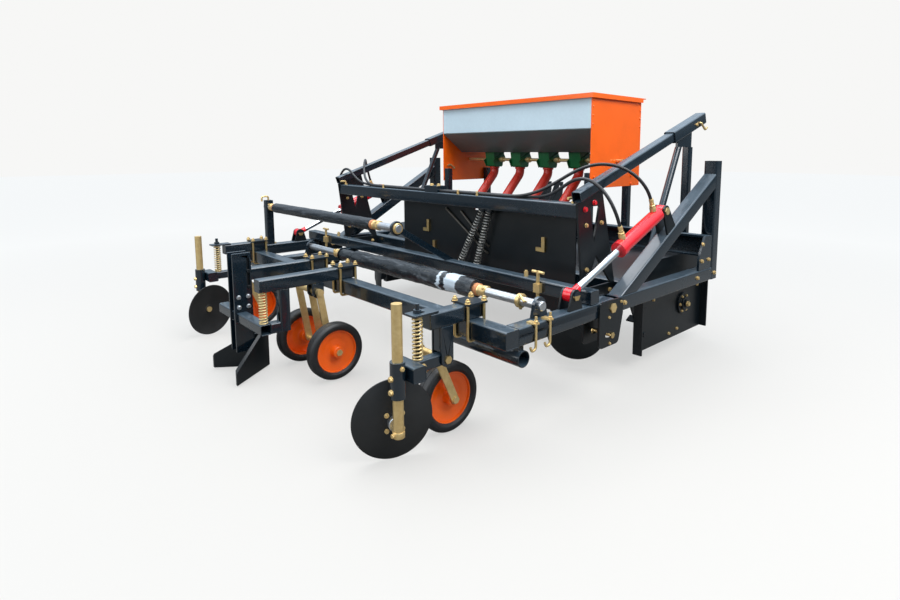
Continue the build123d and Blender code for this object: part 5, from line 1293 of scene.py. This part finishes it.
@dataclass
class Hydraulics:
    """The hoses from the cylinders' ports to the tee block, and the fittings at the ports."""

    port_way: Point = (0.0, -0.379, 0.926)
    upper_port: Point = (1208, 336.4, 842.4)
    lower_port: Point = (1208, 77.2, 736.3)
    upper_tee: Point = (60, -18, 878.3)
    lower_tee: Point = (60, 10, 878.3)
    upper_route: tuple[Point, ...] = (
        (1192, 292, 944), (1154, 254, 1000), (1090, 208, 1040), (1008, 152, 1046), (932, 96, 1012),
        (862, 50, 958), (786, 14, 912), (694, -12, 884), (590, -20, 878.3), (470, -15, 878.3),
        (350, -21, 878.3), (230, -16, 878.3), (140, -18, 878.3))
    lower_route: tuple[Point, ...] = (
        (1198, 40, 838), (1170, 28, 898), (1122, 20, 952), (1056, 14, 984), (986, 10, 974), (924, 6, 934),
        (858, 9, 898), (772, 14, 880), (670, 11, 878.3), (550, 15, 878.3), (430, 10, 878.3),
        (310, 14, 878.3), (200, 8, 878.3), (125, 10, 878.3))
    sleeve: Outline = ((-21, 15.2), (-3, 15.2), (-1, 14))
    hexagon: Outline = ((-1.5, 15), (10, 15), (12, 13))
    ferrule: Outline = ((11, 10.8), (22, 10.8), (23, 10), (26, 10), (27, 10.8), (40, 10.8), (43, 9))
    plugs: tuple[Point, ...] = ((-32.0, -5.0, 906.0), (32.0, -5.0, 906.0))

    def build(self) -> None:
        """Builds the hoses and the fittings."""
        hoses = []
        for side in Side:
            for level, port, route, tee in (("upper", self.upper_port, self.upper_route, self.upper_tee),
                                            ("lower", self.lower_port, self.lower_route, self.lower_tee)):
                name = f"{side.word}_{level}_hose"
                hoses.append(HydraulicHose(name, side, port, self.port_way, route, tee).build())
            self._port_fittings(side)
        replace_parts(hoses[0], "hydraulic_hoses")
        plugs = Form()
        plugs.fasteners([Vector(place) for place in self.plugs], UPWARD, 13.0)
        plugs.piece("tee_plugs", "front_frame", GOLD_ZINC)

    def _port_fittings(self, side: Side) -> None:
        """Builds the sleeve, hexagon and ferrule at a cylinder's two ports.

        Args:
            side: the cylinder's side.
        """
        form = Form()
        way = Vector(self.port_way).normalized()
        for place in side.places(self.upper_port, self.lower_port):
            form.turned(self.sleeve, place, way, 28)
            form.turned(self.hexagon, place, way, 6)
            form.turned(self.ferrule, place, way, 28)
        form.piece(side.word + "_port_fittings", side.word + "_barrel", GOLD_ZINC)


@dataclass
class RearFrameFittings:
    """Clamp nuts, rail hooks, T-screws, the post's hook and the closed tube ends of the rear frame."""

    beam_y: float = -665.0
    rail_z: float = 435.0
    arm_z: float = 500.0
    clamp_top: float = 538.0
    clamp_arms: tuple[float, ...] = (1015.0, -1015.0, 80.0, -215.0)
    clamp_corners: tuple[Pair, ...] = ((-37.0, -42.0), (-37.0, 42.0), (37.0, -42.0), (37.0, 42.0))
    rail_side: float = 1243.0
    rail_top: float = 470.0
    hook_ys: Pair = (-547.0, -465.0)
    hook_radius: float = 5.0
    hook_x: float = 1249.5
    strap_reach: Pair = (1213.0, 1256.5)
    strap_half: float = 12.0
    strap_sheet: float = 6.0
    hook_nut: Outline = ((0, 8.4), (8, 8.4), (9, 7.2))
    screw_x: float = 965.0
    screw_y: float = -204.0
    screw_zs: Pair = (446.0, 576.0)
    handle: tuple[float, float] = (33.0, 570.0)
    block_half: float = 17.0
    block_ys: Pair = (-217.0, -195.0)
    block_foot: float = 478.0
    block_height: float = 40.0
    stop: Point = (860.0, -165.0, 530.0)
    stop_post: Outline = ((-1, 10), (20, 10), (20, 7), (26, 7), (27, 5))
    post: Point = (-1208.0, -500.0, 773.0)
    post_hook: tuple[Pair, ...] = ((0, -2), (0, 27), (-45, 27), (-45, -6))

    def build(self) -> None:
        """Builds the fittings and the caps."""
        gold = Form()
        for x in self.clamp_arms:
            nuts = [Vector((x + across, self.beam_y + along, self.clamp_top))
                    for across, along in self.clamp_corners]
            gold.fasteners(nuts, UPWARD, 12.0, Head.NUT)
        for side in Side:
            self._rail_hooks(gold, side)
            self._screw(gold, side)
        gold.bent([Vector(self.post) + Vector((0, y, z)) for y, z in self.post_hook], 6.0, 14.0)
        gold.piece("rear_frame_fittings", "rear_frame", GOLD_ZINC)
        self._caps()

    def _flat(self, side: Side, xs: Pair, ys: Pair, z: float) -> list[Vector]:
        """A level rectangle's corners.

        Args:
            side: the machine's side.
            xs: where it starts and ends across.
            ys: where it starts and ends along.
            z: its height.

        Returns:
            The corners in order.
        """
        return side.places((xs[0], ys[0], z), (xs[1], ys[0], z), (xs[1], ys[1], z), (xs[0], ys[1], z))

    def _rail_hooks(self, gold: Form, side: Side) -> None:
        """Adds the hooked rods on a side rail, each through a strap over the rail's top.

        Args:
            gold: the mesh to add to.
            side: the rail's side.
        """
        x = self.hook_x
        for y in self.hook_ys:
            rod = side.places((x, y, 500), (x, y, 376), (x, y - 22, 370), (x, y - 30, 388))
            gold.bent(rod, self.hook_radius)
            ys = (y - self.strap_half, y + self.strap_half)
            strap = self._flat(side, self.strap_reach, ys, self.rail_top)
            gold.plate(strap, UPWARD * self.strap_sheet)
            gold.turned(self.hook_nut, side.place(x, y, self.rail_top + self.strap_sheet), UPWARD, 6)

    def _screw(self, gold: Form, side: Side) -> None:
        """Adds a T-handled clamp screw in its block behind the cross bar, and the stop post on the bar.

        Args:
            gold: the mesh to add to.
            side: the screw's side.
        """
        x, y = self.screw_x, self.screw_y
        reach, handle_z = self.handle
        gold.bent(side.places(*((x, y, z) for z in self.screw_zs)), 8.0)
        gold.bent(side.places((x - reach, y, handle_z), (x + reach, y, handle_z)), 6.5)
        block = self._flat(side, (x - self.block_half, x + self.block_half), self.block_ys, self.block_foot)
        gold.plate(block, UPWARD * self.block_height)
        gold.turned(self.stop_post, side.place(*self.stop), UPWARD, 20)

    def _caps(self) -> None:
        """Closes the tubes' open ends."""
        caps = Form()
        for side in Side:
            caps.square_cap(side.place(self.rail_side, self.beam_y, self.rail_z), side.outward, 30.5)
            caps.square_cap(side.place(self.rail_side, -165, self.arm_z), side.outward, 26.5)
            caps.square_cap(side.place(1015, -875, self.arm_z), BACKWARD, 26.5)
        caps.square_cap(Vector((80, -1110, self.arm_z)), BACKWARD, 26.5)
        caps.square_cap(Vector((-430, -1085, 295)), SIDEWAYS * -1, 20.5)
        caps.piece("rear_tube_caps", "rear_frame", FRAME_PAINT)


@dataclass
class DiscUnit:
    """A disc unit's small parts: the sleeve's clamp screws, the toe tube's caps and the disc's hub bolts."""

    side: Side
    shank: Pair = (1033.0, -1015.0)
    sleeve_radius: float = 27.0
    sleeve_screws: Pair = (288.0, 336.0)
    side_screw: float = 372.0
    arm_screw: Point = (1035.0, -905.0, 345.0)
    toe_tube: Pair = (-962.0, 345.0)
    toe_ends: Pair = (960.0, 1090.0)
    toe_half: float = 23.5
    disc_z: float = 150.0
    disc_toe: float = 20.0
    hub_reach: float = 52.0
    hub_ring: Outline = ((-22.4, 11), (-22.4, 25), (-20, 27), (1.5, 27), (1.5, 11))
    bolt_circle: float = 41.0
    bolt_count: int = 4
    foot_z: float = 120.0
    foot_ring: Outline = ((-1, 12), (-1, 20.5), (1, 22), (20, 22), (22, 20.5), (22, 19.2))

    def build(self) -> None:
        """Builds the unit's small parts."""
        word, outward = self.side.word, self.side.outward
        x, y = self.shank
        screws = Form()
        back = y - self.sleeve_radius + 1
        screws.fasteners([self.side.place(x, back, z) for z in self.sleeve_screws], BACKWARD, 11.0)
        screws.fastener(self.side.place(x + self.sleeve_radius - 1, y, self.side_screw), outward, 9.0)
        screws.fastener(self.side.place(*self.arm_screw), outward, 10.0)
        screws.piece(word + "_sleeve_screws", word + "_unit", GOLD_ZINC)
        caps = Form()
        for end, sign in zip(self.toe_ends, (-1, 1)):
            caps.square_cap(self.side.place(end, *self.toe_tube), outward * sign, self.toe_half)
        caps.piece(word + "_toe_tube_caps", word + "_unit", FRAME_PAINT)
        self._hub()

    def _hub(self) -> None:
        """Builds the bolts and the ring round the disc's hub, and the shank's foot."""
        word = self.side.word
        toe = radians(self.disc_toe)
        way = self.side.place(-cos(toe), sin(toe), 0.0)
        middle = self.side.place(*self.shank, self.disc_z) + way * self.hub_reach
        across = way.cross(UPWARD)
        bolts = Form()
        for step in range(self.bolt_count):
            angle = 2 * pi * (step + 0.5) / self.bolt_count
            out = (across * cos(angle) + UPWARD * sin(angle)) * self.bolt_circle
            bolts.fastener(middle + out + way * 0.8, way * -1, 9.0)
        bolts.piece(word + "_disc_bolts", word + "_disc", GOLD_ZINC)
        ring = Form()
        ring.turned(self.hub_ring, middle, way, 36, True)
        ring.piece(word + "_disc_hub_ring", word + "_disc", BRIGHT_STEEL)
        foot = Form()
        place = self.side.place(*self.shank, self.foot_z)
        foot.turned(self.foot_ring, place, UPWARD, 32)
        foot.fastener(place + Vector((0, -21.5, 11)), BACKWARD, 9.0)
        foot.piece(word + "_shank_foot", word + "_shank", GOLD_ZINC)


@dataclass
class FrontFrameFittings:
    """Bolts on the end plates, rails, quadrants and tiller plates, and the upper beam's small fittings."""

    end_plate: Pair = (1046.0, 1058.0)
    red_bolts: tuple[Pair, ...] = ((7.0, 842.0), (77.0, 869.0))
    gold_bolts: tuple[Pair, ...] = ((19.0, 768.0), (140.0, 771.0), (30.0, 560.0), (225.0, 435.0))
    rail_side: float = 1243.0
    rail_bolts: tuple[Pair, ...] = ((61.0, 437.0), (772.0, 435.0), (815.0, 520.0), (815.0, 612.0),
                                    (895.0, 520.0), (975.0, 435.0))
    quadrant_side: float = 1253.5
    quadrant_bolts: tuple[Pair, ...] = ((-72.0, 398.0), (-64.0, 282.0), (18.0, 452.0))
    tiller_side: float = 1110.0
    black_bolts: tuple[Pair, ...] = ((452.0, 300.0), (462.0, 165.0))
    foot_bolts: tuple[Pair, ...] = ((741.0, 106.0), (831.0, 115.0), (560.0, 330.0), (1060.0, 330.0))
    rotor: Pair = (884.0, 253.0)
    rotor_end: float = 1142.0
    bearing_face: float = 1122.0
    bearing_circle: float = 47.0
    bearing_bolts: int = 6
    beam_top: float = 870.0
    valves: tuple[float, ...] = (233.0, 387.0, -500.0)
    valve_y: float = -33.0
    valve: Outline = ((-1, 7), (7, 7), (7, 4.5), (14, 4.5), (14, 7), (22, 7), (23, 5))
    latch: tuple[Point, ...] = (
        (1080, 1050, 1266), (1094, 1050, 1266), (1094, 1104, 1228), (1094, 1126, 1242))
    latch_bolt: Point = (1084, 1018, 1254)
    elbow: tuple[Point, ...] = ((1008, -12, 868), (1008, -12, 893), (1008, -54, 893))
    elbow_nut: Outline = ((-1, 12), (7, 12), (8, 10))

    def build(self) -> None:
        """Builds every bolt and fitting."""
        gold, red, black = Form(), Form(), Form()
        inner, outer = self.end_plate
        for side in Side:
            out = side.outward
            red.fasteners(side.face(outer, self.red_bolts), out, 13.0)
            gold.fasteners(side.face(outer, self.gold_bolts), out, 11.0)
            gold.fasteners(side.face(inner, self.gold_bolts), -out, 11.0, Head.NUT)
            gold.fasteners(side.face(self.rail_side, self.rail_bolts), out, 11.0)
            gold.fasteners(side.face(self.quadrant_side, self.quadrant_bolts), out, 6.5)
            black.fasteners(side.face(self.tiller_side, self.black_bolts), out, 15.0)
            gold.fasteners(side.face(self.tiller_side, self.foot_bolts), out, 9.0)
            self._latch(gold, side)
        for step in range(self.bearing_bolts):
            angle = 2 * pi * step / self.bearing_bolts
            out = Vector((0.0, cos(angle), sin(angle))) * self.bearing_circle
            gold.fastener(Vector((self.bearing_face, *self.rotor)) + out, SIDEWAYS, 8.0)
        for x in self.valves:
            gold.turned(self.valve, Vector((x, self.valve_y, self.beam_top)), UPWARD, 16)
        gold.piece("front_frame_bolts", "front_frame", GOLD_ZINC)
        red.piece("end_plate_red_bolts", "front_frame", RED_PAINT)
        black.piece("tiller_plate_bolts", "front_frame", DARK_PAINT)
        end = Form()
        end.fastener(Vector((self.rotor_end, *self.rotor)), SIDEWAYS, 15.0)
        end.piece("rotor_end_bolt", "rotor", GOLD_ZINC)

    def _latch(self, gold: Form, side: Side) -> None:
        """Adds the latch on the sloped arm's sleeve and the elbow at the upper beam's end.

        Args:
            gold: the mesh to add to.
            side: the arm's side.
        """
        gold.bent(side.places(*self.latch), 6.0, 9.0)
        gold.fastener(side.place(*self.latch_bolt), side.outward, 9.0)
        gold.bent(side.places(*self.elbow), 6.5)
        x, y, _ = self.elbow[0]
        gold.turned(self.elbow_nut, side.place(x, y, self.beam_top), UPWARD, 6)


@dataclass
class HopperTrim:
    """Rivets down the hopper's ends, and the metering lever on the left one's inner face."""

    end_face: float = 660.0
    rivet_ys: Pair = (622.0, 1127.0)
    rivet_zs: tuple[float, ...] = (1260.0, 1310.0, 1360.0, 1398.0)
    foot_ys: Pair = (640.0, 1040.0)
    foot_zs: Pair = (905.0, 955.0)
    lever: tuple[Point, ...] = ((-645, 700, 985), (-645, 668, 1010), (-645, 640, 1002))
    lever_pivot: tuple[Point, ...] = ((-640, 700, 985), (-658, 700, 985))

    def build(self) -> None:
        """Builds the rivets and the lever."""
        orange = Form()
        rivets = [(y, z) for y in self.rivet_ys for z in self.rivet_zs]
        feet = [(y, z) for y in self.foot_ys for z in self.foot_zs]
        for side in Side:
            orange.fasteners(side.face(self.end_face, rivets), side.outward, 8.0, Head.RIVET)
            orange.fasteners(side.face(self.end_face, feet), side.outward, 10.0)
        orange.piece("hopper_rivets", "front_frame", ORANGE_PAINT)
        lever = Form()
        lever.bent(self.lever, 6.0)
        lever.bent(self.lever_pivot, 8.0)
        lever.piece("metering_lever", "front_frame", GOLD_ZINC)


@dataclass
class BoardTrim:
    """Bolts on the rear board and on the share's bracket."""

    board_face: float = 55.0
    board_bolts: tuple[Pair, ...] = ((600.0, 738.0), (640.0, 762.0), (700.0, 762.0), (722.0, 722.0),
                                     (-330.0, 740.0), (930.0, 740.0), (-330.0, 380.0), (930.0, 380.0))
    bracket_faces: Pair = (-251.0, -179.0)
    bracket_bolts: tuple[Pair, ...] = ((-1052.0, 345.0), (-1098.0, 345.0), (-1052.0, 395.0), (-1098.0, 395.0))

    def build(self) -> None:
        """Builds the bolts."""
        board = Form()
        board.fasteners([Vector((x, self.board_face, z)) for x, z in self.board_bolts], BACKWARD, 11.0)
        board.piece("board_bolts", "board", GOLD_ZINC)
        bracket = Form()
        for face, sign in zip(self.bracket_faces, (-1, 1)):
            bracket.fasteners(Side.RIGHT.face(face, self.bracket_bolts), SIDEWAYS * sign, 11.0)
        bracket.piece("share_bracket_bolts", "rear_frame", BRIGHT_STEEL)


def main() -> None:
    """Builds the stage and dresses the machine."""
    logging.basicConfig(level=logging.INFO, format="%(message)s")
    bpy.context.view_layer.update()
    Studio().build()
    SteelWork().build()
    assemblies = [Hydraulics(), FilmRolls(), PressWheels(), Springs(), RearFrameFittings(),
                  FrontFrameFittings(), HopperTrim(), BoardTrim(), *(DiscUnit(side) for side in Side)]
    for assembly in assemblies:
        assembly.build()


if __name__ == "__main__":
    main()
